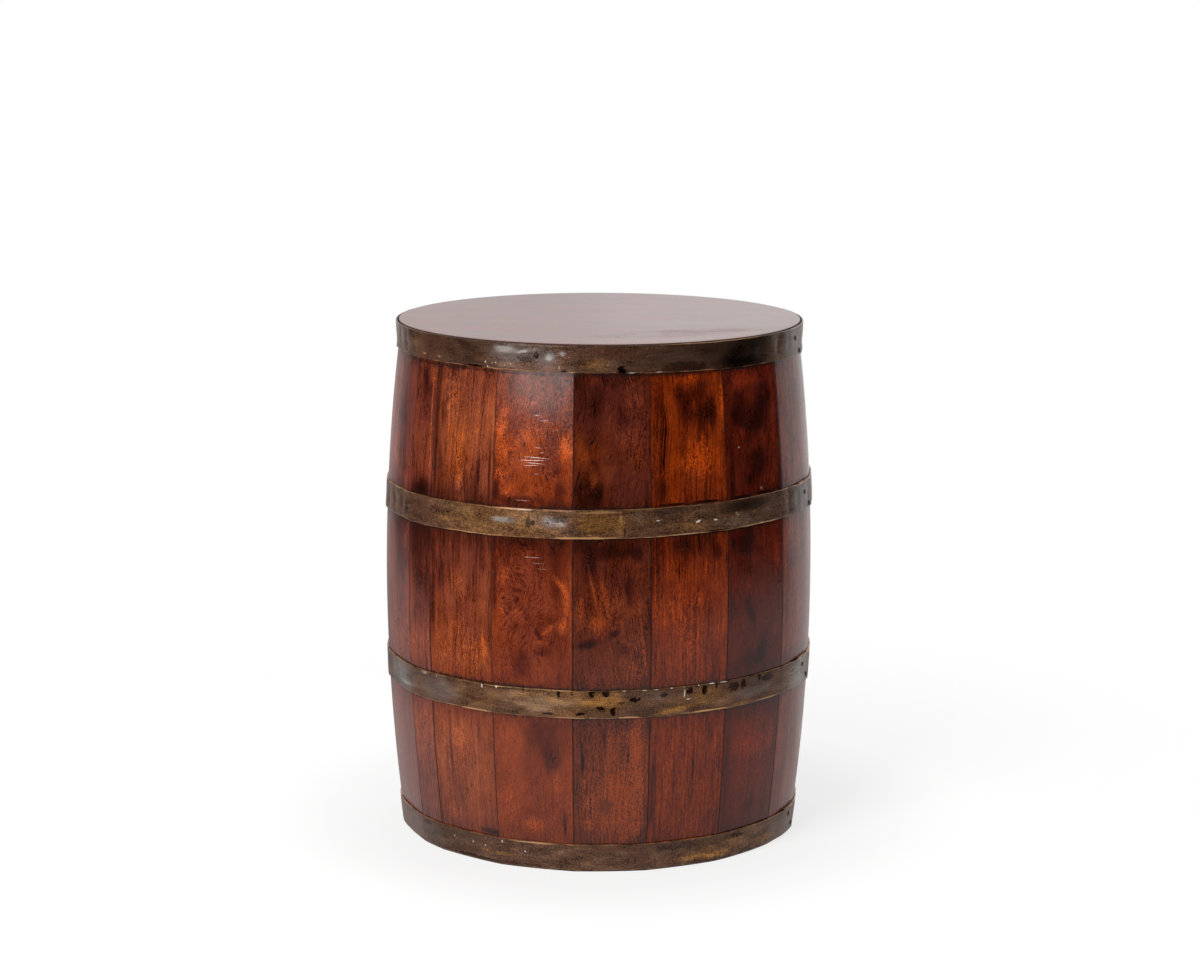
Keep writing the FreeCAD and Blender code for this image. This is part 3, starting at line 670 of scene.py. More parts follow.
top_low, top_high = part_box("top_board_middle")
top_radius = node_radius("top_board_middle", top_low.z)
top_seam = top_high.y
ARRIS = 1.2 * MM
ARRIS_STEPS = 5
RINGS = 24
SECTORS = 240


def top_disc():
    """A turned disc as rings of quads about a centre point, with a rounded arris."""
    disc = bmesh.new()
    profile = [(top_radius * index / RINGS, top_low.z) for index in range(1, RINGS)]
    profile += [(top_radius, top_low.z), (top_radius, top_high.z - ARRIS)]
    for step in range(1, ARRIS_STEPS):
        angle = math.radians(90 * step / ARRIS_STEPS)
        profile.append((top_radius - ARRIS + ARRIS * math.cos(angle),
                        top_high.z - ARRIS + ARRIS * math.sin(angle)))
    profile.append((top_radius - ARRIS, top_high.z))
    profile += [((top_radius - ARRIS) * index / RINGS, top_high.z) for index in range(RINGS - 1, 0, -1)]
    rings = [[disc.verts.new(at(360 * sector / SECTORS, radius, height)) for sector in range(SECTORS)]
             for radius, height in profile]
    for lower, upper in zip(rings, rings[1:]):
        for sector in range(SECTORS):
            following = (sector + 1) % SECTORS
            disc.faces.new((lower[sector], lower[following], upper[following], upper[sector]))
    for ring, height, flip in ((rings[0], top_low.z, True), (rings[-1], top_high.z, False)):
        centre = disc.verts.new((0, 0, height))
        for sector in range(SECTORS):
            corners = [ring[sector], ring[(sector + 1) % SECTORS], centre]
            disc.faces.new(corners[::-1] if flip else corners)
    bmesh.ops.recalc_face_normals(disc, faces=disc.faces)
    return disc


def saw(disc, offset, keep):
    """Saw the disc along its grain, and keep what lies towards one side."""
    parts = disc.verts[:] + disc.edges[:] + disc.faces[:]
    cut = bmesh.ops.bisect_plane(disc, geom=parts, plane_co=(0, offset, 0), plane_no=(0, keep, 0),
                                 clear_inner=True)
    edges = [part for part in cut["geom_cut"] if isinstance(part, bmesh.types.BMEdge)]
    bmesh.ops.holes_fill(disc, edges=edges)


# One darker streak runs across the grain at the front right.
# The darker colour round the top's arris.
DARK_ARRIS = (0.05, 0.02, 0.014)
SPECK_BROWN = (0.02, 0.008, 0.006)
STREAK_BROWN = (0.11, 0.02, 0.012)
STREAK_PLACE = (0.07, -0.105, table_top)
STREAK_SIZE = (0.13, 0.03, 1.0)
STREAK_LEAN = (0, 0, math.radians(22))


def top_wood():
    """Smooth lacquered boards, their grain along X; a place is the object's own position in metres."""
    wood = Finish("top_lacquered")
    place = wood.node("TexCoord", out="Object")
    grain = wood.wander(place, (0.22, 0.06, 0.1), (0, 0.07, 0))
    bands = wood.cloud(grain, (0.6, 0.013, 0.1), detail=4, roughness=0.62)
    mottle = wood.cloud(place, (0.09, 0.05, 0.05), detail=3)
    specks = wood.cloud(place, (0.003, 0.0022, 0.003), detail=1)
    patches = wood.cloud(place, (0.05, 0.035, 0.05), detail=4, roughness=0.65)
    streaks = wood.cloud(grain, (0.09, 0.0015, 0.1), detail=3, roughness=0.7)
    fibres = wood.cloud(grain, (0.011, 0.0009, 0.1), detail=3, roughness=0.8)
    pores = wood.step(wood.cloud(grain, (0.026, 0.001, 0.1)), 0.3, 0.4, 1.0, 0.0)
    peel = wood.cloud(place, (0.0035, 0.0035, 0.0035))
    tone = wood.level(0.57, (bands, 0.9), (mottle, 0.5), (patches, 0.35), (streaks, 0.8), (fibres, 0.6))
    tone = wood.plus(tone, pores, -0.22)
    colour = wood.ramp(tone, (0.1, (0.05, 0.01, 0.007)), (0.5, (0.24, 0.052, 0.031)),
                       (0.95, (0.46, 0.125, 0.08)))
    streak = wood.node("Mapping", place, STREAK_PLACE, STREAK_LEAN, STREAK_SIZE, vector_type="TEXTURE")
    streak = wood.node("TexGradient", streak, out="Fac", gradient_type="SPHERICAL")
    streak = wood.times(streak, wood.level(1.0, (bands, 4.0), (patches, 4.0)))
    streak = wood.step(streak, 0.1, 1.0, 0.0, 0.2)
    colour = wood.blend(streak, colour, STREAK_BROWN)
    colour = wood.blend(wood.step(specks, 0.72, 0.78, 0.0, 0.7), colour, SPECK_BROWN)
    reach = wood.node("VectorMath", wood.stretch(place, (1, 1, 0)), operation="LENGTH", out="Value")
    rim = wood.step(reach, top_radius - 1.0 * MM, top_radius - 0.4 * MM)
    colour = wood.blend(rim, colour, DARK_ARRIS)
    gloss = wood.level(0.23, (mottle, 0.07), (bands, 0.05))
    gloss = wood.plus(gloss, wood.math("MAXIMUM", streak, rim), 0.4)
    return wood.done(colour, gloss, wood.bump(peel, 0.04 * MM))


top_material = top_wood()
for place, cuts in {"front": [(-top_seam, -1)], "middle": [(-top_seam, 1), (top_seam, -1)],
                    "rear": [(top_seam, 1)]}.items():
    disc = top_disc()
    for offset, keep in cuts:
        saw(disc, offset, keep)
    mesh = bpy.data.meshes.new(f"top_board_{place}_lacquered")
    disc.to_mesh(mesh)
    disc.free()
    board = new_piece(f"top_board_{place}_lacquered", mesh, top_material)
    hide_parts(f"top_board_{place}")


# --- Battens, dowels and screws -----------------------------------------------------------------------
# Two sawn battens cross the top's boards from below and are held by six countersunk steel screws; four
# beech dowels set the top on the staves' upper ends. None of them shows when the table stands.

def screw_metal():
    """Plain drawn steel, slightly dull and scuffed."""
    steel = Finish("screw_steel_drawn")
    place = steel.node("TexCoord", out="Object")
    scuffs = steel.cloud(place, (0.0015, 0.0015, 0.0015), detail=3)
    colour = steel.blend(steel.step(scuffs, 0.3, 0.7), (0.35, 0.35, 0.36), (0.6, 0.6, 0.61))
    return steel.done(colour, steel.step(scuffs, 0.3, 0.7, 0.25, 0.45), metallic=1.0)


batten_wood = sawn_wood("sawn_batten", dark=(0.22, 0.11, 0.055), light=(0.42, 0.25, 0.13),
                        pores=(0.16, 0.08, 0.04), grain="Y")
for batten in ("left_batten", "right_batten"):
    coat(batten, batten_wood)
coat("top_dowels", sawn_wood("dowel_beech", (0.45, 0.3, 0.17), (0.66, 0.47, 0.28)))
coat("batten_screws", screw_metal())


# --- Hoops --------------------------------------------------------------------------------------------
# Four hoops of thin strip brass, hammered round the barrel so that they follow its faces, their ends
# lapped at the right and pinned. The brass is darkly patinated, with its edges rubbed bare, and dented,
# crimped and flecked by hand work. Its grey sheen, its glints and some of its bare edges and white flecks
# are painted reflections and highlights.

# Marks on each hoop's brass, given as on the staves, and its dents, whose last number is a depth in mm. Dim
# and dark are patina and spots, but one dim mark on the upper belly hoop is painted shade; the grey marks
# are partly dull brass and partly painted sheen, where the brass would mirror the bright studio; gold is
# rubbed and rust red brass; the glints are painted highlights of light caught in dents; edge is brass worn
# bare along a hoop's edge, in places a painted highlight; and white is flecks of paint and small painted
# glints.
HOOP_LOOKS = {
    "rim_hoop": {
        "dim": [
            (50, 450, 24, 14, 0.35), (30, 448, 20, 12, 0.25), (-40, 444, 60, 60, 0.6),
            (15, 444, 60, 40, 0.2), (34, 444, 90, 60, 0.6), (45, 444, 50, 50, 0.7), (-4, 441, 20, 12, 0.3),
            (-39, 452, 24, 6, 0.3, 20)],
        "dark": [
            (42, 437, 50, 8, 0.15), (24, 436, 30, 7, 0.3), (6, 435.5, 6, 5, 1.0),
            (-9.4, 434.5, 3, 2.6, 0.9), (-36, 434, 14, 2, 0.6), (-17, 446, 2.2, 2.2, 1.0)],
        "dull_and_sheen": [
            (-24, 448, 34, 16, 0.8), (-15, 446, 20, 14, 0.7), (-70, 445, 16, 22, 0.3),
            (67, 445, 28, 40, 1.3)],
        "gold": [
            (-2, 440, 18, 8, 0.5), (9, 441, 3, 1.2, 0.8), (31, 446, 1.2, 1.4, 0.9),
            (-22, 439, 26, 3, 0.35), (16, 436, 14, 2, 0.4)],
        "rust": [(4, 451, 34, 8, 0.8), (-54, 446, 34, 20, 0.5), (52, 453, 8, 4, 0.6)],
        "painted_glint": [
            (-13.4, 446.4, 6, 5, 1.0, -20), (-21, 449.6, 10, 2, 0.9, -8), (-9.8, 449.4, 5, 3, 0.7),
            (-17, 446, 0.7, 0.7, 1.0), (-10.8, 437.6, 0.6, 2.6, 0.9), (-26, 451, 16, 5, 0.5)],
        "edge": [
            (-27, 433.6, 16, 0.9, 0.8), (-7, 433.2, 5, 0.8, 0.7), (24, 432.6, 30, 0.8, 0.3),
            (-56, 438.4, 4, 0.9, 0.8), (-49, 438.4, 3, 0.8, 0.7), (34, 456, 70, 0.7, 0.7)],
        "white": [
            (8.6, 433.2, 5, 0.5, 0.8), (16, 433.6, 4, 0.5, 0.6), (-32.2, 438.6, 0.8, 0.9, 1.0),
            (-31.4, 435, 0.8, 0.8, 0.9), (-30, 438.2, 0.6, 0.7, 0.7), (-28.8, 438.8, 0.7, 0.7, 0.8),
            (-26.2, 437, 0.6, 0.6, 0.6), (-24.4, 438.6, 0.6, 0.6, 0.6), (-43, 433.6, 1.4, 0.8, 0.6)],
        "dent": [
            (-12.5, 446, 11, 8, 0.75), (-22, 449, 14, 7, 0.4), (-32, 443, 10, 9, 0.3),
            (20, 444, 12, 8, 0.4), (38, 446, 9, 9, 0.5), (50, 442, 8, 9, 0.5), (-50, 446, 12, 8, 0.4),
            (58, 445, 5, 12, 0.5), (64, 445, 5, 12, 0.4), (-68, 445, 5, 12, 0.5), (-74, 445, 5, 12, 0.5)],
    },
    "upper_belly_hoop": {
        # The dim mark along the top edge at azimuth 20 is painted shade from the gap above the hoop.
        "dim": [(41, 313, 50, 11, 0.8), (12, 304, 20, 6, 0.3), (20, 316, 40, 5, 0.4)],
        "dark": [
            (-18.2, 309, 3, 8, 0.8), (41, 313.5, 44, 7, 0.22), (-61, 304, 4, 3, 0.9),
            (30, 295, 24, 1.6, 0.9), (6.5, 300, 1.6, 6, 0.7)],
        "dull_and_sheen": [
            (-25, 308.5, 14, 4, 0.6), (-11, 308.6, 14, 7, 0.5), (38, 301, 34, 7, 0.3),
            (10, 312, 8, 9, 0.25), (67, 307, 28, 40, 1.6)],
        "gold": [
            (5, 307, 50, 24, 0.35), (33, 305, 60, 20, 0.25), (-17, 309, 44, 24, 0.4),
            (-30, 307, 70, 30, 0.55), (-1, 307, 25, 14, 1.0), (-18.6, 307, 9, 10, 0.8),
            (5.4, 307, 6, 12, 0.6), (22, 303, 26, 9, 0.35), (-57, 299, 10, 3, 0.7), (-45, 305, 12, 7, 0.4),
            (39, 308, 5, 2, 0.9), (44, 306.5, 5, 1.4, 0.8)],
        "rust": [
            (-50, 306, 40, 20, 0.3), (10, 306, 60, 20, 0.15), (-55, 312, 30, 8, 0.4),
            (0, 316, 26, 3, 0.5)],
        "painted_glint": [
            (-17, 309, 44, 12, 0.1), (-12.6, 308.6, 9, 6, 0.9, 10), (-9.6, 307.6, 7, 5, 0.6, -10),
            (-25, 308.6, 18, 4, 0.6), (-16.6, 306.6, 1.4, 1.2, 0.8), (-20, 318.4, 24, 1.2, 0.9)],
        "edge": [
            (-24, 318.8, 40, 0.8, 1.0), (-17, 319, 16, 0.9, 1.0), (-3, 295.4, 34, 1.3, 1.0),
            (-34, 295, 40, 0.8, 0.8), (22, 294.8, 34, 1.0, 0.7), (46, 295, 30, 0.8, 0.7),
            (0, 317, 22, 1.4, 0.6), (5.6, 312, 1.6, 8, 0.7)],
        "white": [
            (15, 308.4, 2.2, 0.7, 0.9), (26.1, 304.8, 3.6, 1.2, 1.0, -22), (31.1, 304.6, 2.8, 0.8, 1.0, 6),
            (38.2, 306.4, 1.4, 0.6, 0.9), (37.6, 308.2, 1.6, 0.6, 0.7), (34, 304.4, 0.8, 0.6, 0.6),
            (22, 294.4, 4, 0.6, 0.8), (46.8, 295.4, 1.4, 0.8, 0.6), (-27.6, 300.6, 0.6, 0.6, 0.7)],
        "dent": [
            (-24, 304.5, 12, 7, 0.4), (-11, 309, 10, 7, 0.7), (-18.5, 308, 6, 7, -0.3),
            (2, 308, 9, 8, 0.2), (46, 306, 12, 9, 0.35), (59, 307, 4, 12, 0.45), (64, 307, 4, 12, 0.45),
            (72, 306, 6, 8, 0.6), (-64, 306, 5, 12, 0.5), (-70, 306, 5, 12, 0.5), (-76, 306, 5, 12, 0.5)],
    },
    "lower_belly_hoop": {
        "dim": [(-50, 160, 24, 7, 0.5), (-42, 161, 12, 4, 0.4), (44, 158, 40, 10, 0.5)],
        "dark": [
            (-19.8, 162, 2.6, 4, 1.0), (-10.2, 161, 2, 5.4, 1.0), (-6.6, 161.6, 2.2, 3, 0.9),
            (-1.6, 161, 3.4, 4.6, 1.0), (2, 161, 4.4, 3.6, 1.0), (4, 145, 5.6, 5.4, 1.0, 20),
            (0.6, 147.4, 5.4, 3.2, 1.0, 25), (9.2, 155, 6.4, 3, 1.0, -8), (5.6, 152.4, 5, 1.6, 0.9),
            (-4.6, 143.2, 6, 1.5, 1.0, -10), (-13, 142.6, 7, 1.4, 1.0), (17, 158, 5, 3, 0.8),
            (24, 159.6, 4.2, 4.2, 1.0), (28.4, 158.6, 3.6, 6, 1.0), (31.8, 161, 1.3, 4, 1.0),
            (37, 157.5, 8, 6, 0.7), (40.6, 158, 4, 7, 0.8), (46.4, 160.5, 4, 5, 0.9),
            (50, 158.5, 10, 5, 0.6), (-23, 162.6, 40, 1.2, 0.6), (68, 153.4, 2.4, 2, 0.9)],
        "dull_and_sheen": [
            (-66, 152, 40, 22, 1.1), (-46, 150, 36, 16, 0.5), (16, 157, 14, 6, 0.4), (45, 150, 40, 8, 0.5),
            (67, 152, 30, 40, 1.2)],
        "gold": [
            (64, 150, 34, 20, 0.7), (-34, 152, 40, 20, 0.3), (-16, 154, 34, 12, 0.9),
            (2, 154, 26, 12, 0.8), (-10, 151, 70, 24, 0.5), (26, 151, 60, 14, 0.3),
            (-17, 153, 3, 5, 0.9, 30), (22, 145, 40, 3.6, 0.8, -9), (30, 157, 30, 8, 0.4),
            (40, 141, 20, 1.6, 0.7)],
        "rust": [(58, 152, 24, 8, 0.4), (36, 158, 30, 7, 0.5), (0, 147, 20, 6, 0.4)],
        "painted_glint": [
            (-16, 152, 40, 14, 0.25), (66, 150, 34, 30, 0.38), (-52, 162, 8, 2, 0.4),
            (-62, 146, 20, 3, 0.4)],
        "edge": [
            (-36, 139.6, 30, 0.9, 1.0), (-5, 139.6, 30, 0.7, 0.8), (8, 139.8, 12, 1.0, 1.0),
            (30, 140, 30, 1.0, 0.9), (50, 139.8, 20, 0.8, 0.7), (-27, 163.2, 14, 0.6, 0.8),
            (-12, 163.4, 20, 0.5, 0.6)],
        "white": [
            (-31.3, 161.6, 0.7, 2.2, 1.0), (-27.0, 162.4, 0.6, 1.8, 0.9), (6.6, 163.2, 2, 0.5, 0.9),
            (11.8, 163.2, 3, 0.5, 0.8), (14.8, 163.1, 2.6, 0.5, 0.9), (19, 163.3, 1.4, 0.6, 0.9),
            (26.6, 163.2, 1, 0.8, 0.9), (30.4, 163.4, 4, 0.7, 1.0), (34, 163.3, 5, 0.5, 0.8),
            (22.6, 157.4, 0.7, 5, 0.9, 3), (23.7, 152.2, 3, 0.6, 0.9, -6), (22.4, 163.2, 0.7, 0.7, 0.8),
            (-47, 162, 0.8, 1, 0.5), (-51.6, 162, 1, 2, 0.4)],
        "dent": [
            (-68, 152, 5, 12, 0.5), (-56, 152, 8, 10, 0.4), (-45, 152, 10, 9, 0.3), (-8, 150, 12, 7, 0.3),
            (20, 151, 14, 8, 0.3), (50, 152, 10, 8, 0.3), (-74, 152, 5, 12, 0.5), (62, 152, 6, 12, 0.4)],
    },
    "foot_hoop": {
        "dim": [(-48, 12, 90, 60, 0.5)],
        "dark": [
            (28, 5, 0.8, 3.4, 1.0), (-30, 3, 70, 2.4, 0.5), (30, 20, 60, 5, 0.4), (42, 21, 10, 4, 0.5),
            (-56, 22, 8, 4, 0.4), (40, 1.6, 80, 1.4, 0.9)],
        "dull_and_sheen": [(-60, 12, 60, 20, 0.3), (66, 12, 40, 20, 0.4)],
        "gold": [
            (38, 12, 60, 16, 0.35), (30, 7, 44, 4, 0.7), (-30, 11, 26, 2.4, 0.6), (15, 11, 3, 2.4, 0.6),
            (56, 10, 30, 5, 0.4)],
        "rust": [(6, 21, 40, 5, 0.7), (-50, 22, 40, 4, 0.4)],
        "painted_glint": [(-18, 24, 26, 0.7, 0.6)],
        "edge": [(-18, 24.2, 26, 0.8, 0.7)],
        "white": [
            (-37.2, 16.4, 1.4, 1.0, 0.5, -40), (-32.8, 22.6, 0.8, 0.7, 0.4), (-32.9, 15.5, 0.8, 1.1, 0.9),
            (-27.2, 22, 0.8, 1.8, 0.9), (-20.5, 15.2, 1, 1.1, 1.0), (-44.2, 17.4, 1.4, 1, 0.3, -40)],
        "dent": [(-40, 12, 20, 8, 0.3), (10, 12, 22, 8, 0.3), (50, 12, 18, 8, 0.3)],
    },
}


SPOT_BLACK = (0.026, 0.01, 0.005)
FILTH_BLACK = (0.012, 0.008, 0.006)
# Dull brass, and painted sheen where the brass would mirror the bright studio.
DULL_GREY_AND_SHEEN = (0.24, 0.21, 0.2)
RUST_RED = (0.14, 0.05, 0.026)
COPPER = (0.62, 0.33, 0.14)
# A painted highlight of light caught in a dent.
PAINTED_GLINT_PALE = (0.62, 0.57, 0.53)
# Brass worn bare, and painted highlights along edges.
BARE_BRASS_AND_HIGHLIGHT = (0.8, 0.42, 0.18)
# Flecks of paint, and small painted glints.
PAINT_FLECK_AND_GLINT_WHITE = (0.85, 0.82, 0.76)


def hoop_brass(name):
    """Patinated brass; a place is (along from the front, hoop number, height) in mm."""
    brass = Finish(name + "_patina")
    place = brass.read("place")
    from_edge = brass.split(brass.read("edges"))[0]

    def drawn(kind, *how):
        return brass.marks(place, HOOP_LOOKS[name][kind], 0, *how)

    patina = brass.cloud(place, (22, 22, 8), detail=5, roughness=0.62)
    speckle = brass.cloud(place, (1.5, 1.5, 1.1), detail=3, roughness=0.8)
    brushing = brass.cloud(place, (20, 20, 0.8), detail=3, roughness=0.6)
    chips = brass.cloud(place, (3.2, 3.2, 2.6), detail=4, roughness=0.65)
    worn = brass.cloud(place, (12, 12, 3), detail=3, roughness=0.7)
    uneven = brass.math("MAXIMUM", brass.level(1.0, (speckle, 3.0), (patina, 2.0)), 0.05)
    ragged = brass.math("MAXIMUM", brass.level(1.0, (chips, 5.5)), 0.05)
    dark = brass.plus(drawn("dark", ragged, 0.36, 0.16), drawn("dim", uneven, 1.0), 0.8)
    dark = brass.math("MINIMUM", dark, 1.0)
    gold = drawn("gold", uneven, 0.8)
    # Dull brass and painted sheen.
    dull_and_sheen = drawn("dull_and_sheen", uneven, 0.9)
    rust = drawn("rust", uneven, 0.8)
    # Painted highlights.
    painted_glint = drawn("painted_glint", brass.level(0.95, (brushing, 2.0), (patina, 3.0), (chips, 2.5)), 1.0)
    # Worn edges, in places painted highlights.
    edge = drawn("edge", brass.level(1.0, (patina, 5.0), (speckle, 1.5)), 0.6)
    # Paint flecks and small painted glints.
    flecks = drawn("white", brass.level(0.9, (speckle, 2.5)), 0.6)

    level = brass.plus(brass.level(0.49, (patina, 0.75), (speckle, 1.0), (brushing, 0.4)), gold, 0.1)
    colour = brass.ramp(level, (0.15, (0.017, 0.008, 0.005)), (0.38, (0.08, 0.036, 0.02)),
                        (0.52, (0.144, 0.066, 0.038)), (0.7, (0.28, 0.146, 0.084)),
                        (0.95, (0.62, 0.39, 0.22)))
    golden = brass.ramp(level, (0.3, (0.12, 0.045, 0.013)), (0.55, (0.34, 0.144, 0.037)),
                        (0.8, (0.88, 0.42, 0.12)))
    colour = brass.blend(brass.times(gold, 0.85), colour, golden)
    colour = brass.blend(brass.math("MINIMUM", brass.times(dull_and_sheen, 0.75), 0.9), colour, DULL_GREY_AND_SHEEN)
    colour = brass.blend(brass.times(rust, 0.8), colour, RUST_RED)
    copper = brass.times(brass.step(speckle, 0.58, 0.7), brass.level(0.4, (patina, 1.6)))
    copper = brass.node("Clamp", brass.plus(copper, gold, 0.4))
    copper = brass.times(copper, brass.step(speckle, 0.55, 0.68, 0.0, 0.8))
    bare = brass.step(brass.plus(from_edge, worn, -3.2), -1.9, -1.0, 0.7, 0.0)
    bare = brass.math("MINIMUM", brass.math("ADD", bare, edge), 1.0)
    filth = brass.step(brass.plus(from_edge, worn, 4.0), 1.3, 2.1, 0.9, 0.0)
    for share, laid_on in ((copper, COPPER), (dark, SPOT_BLACK), (painted_glint, PAINTED_GLINT_PALE), (bare, BARE_BRASS_AND_HIGHLIGHT),
                           (filth, FILTH_BLACK), (flecks, PAINT_FLECK_AND_GLINT_WHITE)):
        colour = brass.blend(share, colour, laid_on)

    clean = brass.math("SUBTRACT", 1.0, brass.math("MINIMUM", brass.math("MAXIMUM", filth, flecks), 1.0))
    shine = brass.plus(0.5, brass.math("MAXIMUM", bare, gold), 0.25)
    metallic = brass.times(clean, brass.math("MAXIMUM", shine, dark))
    roughness = brass.level(0.34, (speckle, 0.4), (patina, 0.4))
    normal = brass.bump(brushing, 0.06 * MM, brass.bump(speckle, 0.13 * MM))
    return brass.done(colour, roughness, normal, metallic=metallic)


DENT_FALL = 1.2
DENT_REACH = 9


def dent_depth(name, azimuth, height):
    """How far the dents press a hoop in at a place, in metres."""
    depth = 0.0
    for centre, level, half_width, half_height, deep in HOOP_LOOKS[name]["dent"]:
        across = math.radians(turned(azimuth - centre)) * belly_radius / MM / half_width
        reach = across ** 2 + ((height / MM - level) / half_height) ** 2
        if reach < DENT_REACH:
            depth += deep * MM * math.exp(-DENT_FALL * reach)
    return depth


def share_between(value, start, length):
    """How far a value has come on a length from its start, from 0 to 1."""
    return max(0.0, min(1.0, (value - start) / length))


# Each hoop's number, and how closely it hugs the staves' flats at a height: fully round from ROUND_FROM up,
# where the rim hoop laps the tabletop.
HUG = 0.85
ROUND_FROM = 449 * MM
ROUND_EASE = 12 * MM
HOOPS = {
    "rim_hoop": (1, lambda height: HUG * share_between(ROUND_FROM - height, 0, ROUND_EASE)),
    "upper_belly_hoop": (2, lambda height: HUG),
    "lower_belly_hoop": (3, lambda height: HUG),
    "foot_hoop": (4, lambda height: HUG),
}

# The strip is wrapped once round from LAP_START to LAP_END, in degrees, and lifts over its own end between
# LIFT_FROM and LIFT_FROM + LIFT_OVER. Hammering leaves ripples, each with its depth, its seed and its
# periods along and up the strip.
HOOP_THICKNESS = 1.3 * MM
HOOP_GAP = 0.1 * MM
LAP_START = 66.5
LAP_END = 75.5
HOOP_LENGTH = 360 + LAP_END - LAP_START
LIFT_FROM = 352
LIFT_OVER = 8
LAP_GAP = 0.15 * MM
HAMMERING = ((0.22 * MM, 0.2, 0.016, 0.012), (0.07 * MM, 0.7, 0.005, 0.005))


def hoop_radius(name, travelled, height, layer=1.0):
    """Radius of a hoop at an angle from its inner end; layer is 0 on its inner face and 1 on its outer."""
    number, follow = HOOPS[name]
    azimuth = LAP_START + travelled
    along = math.radians(azimuth) * belly_radius
    lift = share_between(travelled, LIFT_FROM, LIFT_OVER)
    lift = lift * lift * (3 - 2 * lift) * (HOOP_THICKNESS + LAP_GAP)
    radius = wall_radius(min(height, stave_top)) * (1 - follow(height) * flat_share(azimuth))
    radius += HOOP_GAP + lift + layer * HOOP_THICKNESS
    for depth, seed, along_period, up_period in HAMMERING:
        radius += depth * ripple(number + seed, along, height, along_period, up_period)
    return radius - dent_depth(name, azimuth, height)


# The strip's edges are bevelled and worn in waves; the rim hoop's lower edge slants up towards the left.
HOOP_STEPS = 900
HOOP_ROWS = 14
BEVEL = 0.3 * MM
BEVEL_LAYER = 0.75
LOWER_WEAR = 0.35 * MM
UPPER_WEAR = 0.3 * MM
WEAR_WAVES = 12 * MM
RIM_SLANT = 1.1 * MM
LAYER_DEPTH = 5


def build_hoop(name):
    """Wrap a strip once round the barrel and over its own end."""
    number = HOOPS[name][0]
    low, high = (corner.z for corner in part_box(name))
    points, places, edges = [], [], []
    for step in range(HOOP_STEPS + 1):
        travelled = HOOP_LENGTH * step / HOOP_STEPS
        azimuth = LAP_START + travelled
        along = math.radians(azimuth) * belly_radius
        bottom = low + LOWER_WEAR * (1 + ripple(number + 0.5, along, 0, WEAR_WAVES, 1))
        top = high - UPPER_WEAR * (1 + ripple(number, along, 0, WEAR_WAVES, 1))
        if name == "rim_hoop":
            bottom += RIM_SLANT * (1 - math.sin(math.radians(azimuth)))
        middle = (bottom + top) / 2
        face = [(bottom + (top - bottom) * index / HOOP_ROWS, 1.0) for index in range(1, HOOP_ROWS)]
        section = [(bottom, BEVEL_LAYER), (bottom + BEVEL, 1.0), *face, (top - BEVEL, 1.0),
                   (top, BEVEL_LAYER), (top, 0.0), (middle, 0.0), (bottom, 0.0)]
        for height, layer in section:
            radius = hoop_radius(name, travelled, height, layer)
            points.append(at(azimuth, radius, height + hoop_rise(name, azimuth)))
            places.append(((along - math.tau * belly_radius) / MM,
                           GRAIN_STEP * number + (1 - layer) * LAYER_DEPTH, height / MM))
            from_edge = height - bottom if name == "rim_hoop" else min(height - bottom, top - height)
            edges.append((from_edge / MM, 0, 0))
    size = len(section)
    faces = quads_between(HOOP_STEPS + 1, size, inward=True)
    faces.append(list(range(size)))
    faces.append([HOOP_STEPS * size + index for index in reversed(range(size))])
    return new_mesh(name + "_hammered", points, faces, place=places, edges=edges)


for name in HOOPS:
    hoop = new_piece(name + "_hammered", build_hoop(name), hoop_brass(name), sharp_angle=50)
    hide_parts(name)


# --- Pins ---------------------------------------------------------------------------------------------
# Small brass pins driven through the hoops into the staves and the top's edge. Their heads are peened flat
# on the hoop, which leaves a low uneven dome, as dark as the hoops.

# A head's profile: its half width and its rise over the hoop, in mm. The limits tell one pin from the next.
PIN_PROFILE = [(2.0, -1.0), (2.15, 0.0), (2.1, 0.3), (1.85, 0.55), (1.45, 0.72), (0.95, 0.78), (0.45, 0.7)]
PIN_SIDES = 20
PIN_UNEVENNESS = 0.06
PIN_WIDEST = 1.5
PIN_TALLEST = 5 * MM
PIN_HEAD = 0.6 * MM
SLOPE_STEP = 2 * MM


def pin_places(node):
    """Azimuth and height of each pin's head in a node, from the outermost points there."""
    heads = []
    for point in sorted((vertex.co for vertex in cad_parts[node].data.vertices),
                        key=lambda point: -math.hypot(point.x, point.y)):
        azimuth = azimuth_of(point)
        reach = math.hypot(point.x, point.y)
        head = next((head for head in heads if abs(turned(head[0][0] - azimuth)) < PIN_WIDEST
                     and abs(head[0][1] - point.z) < PIN_TALLEST), None)
        if head is None:
            heads.append([(azimuth, point.z, reach)])
        elif head[0][2] - reach < PIN_HEAD:
            head.append((azimuth, point.z, reach))
    return [(head[0][0] + sum(turned(azimuth - head[0][0]) for azimuth, height, reach in head) / len(head),
             sum(height for azimuth, height, reach in head) / len(head)) for head in heads]


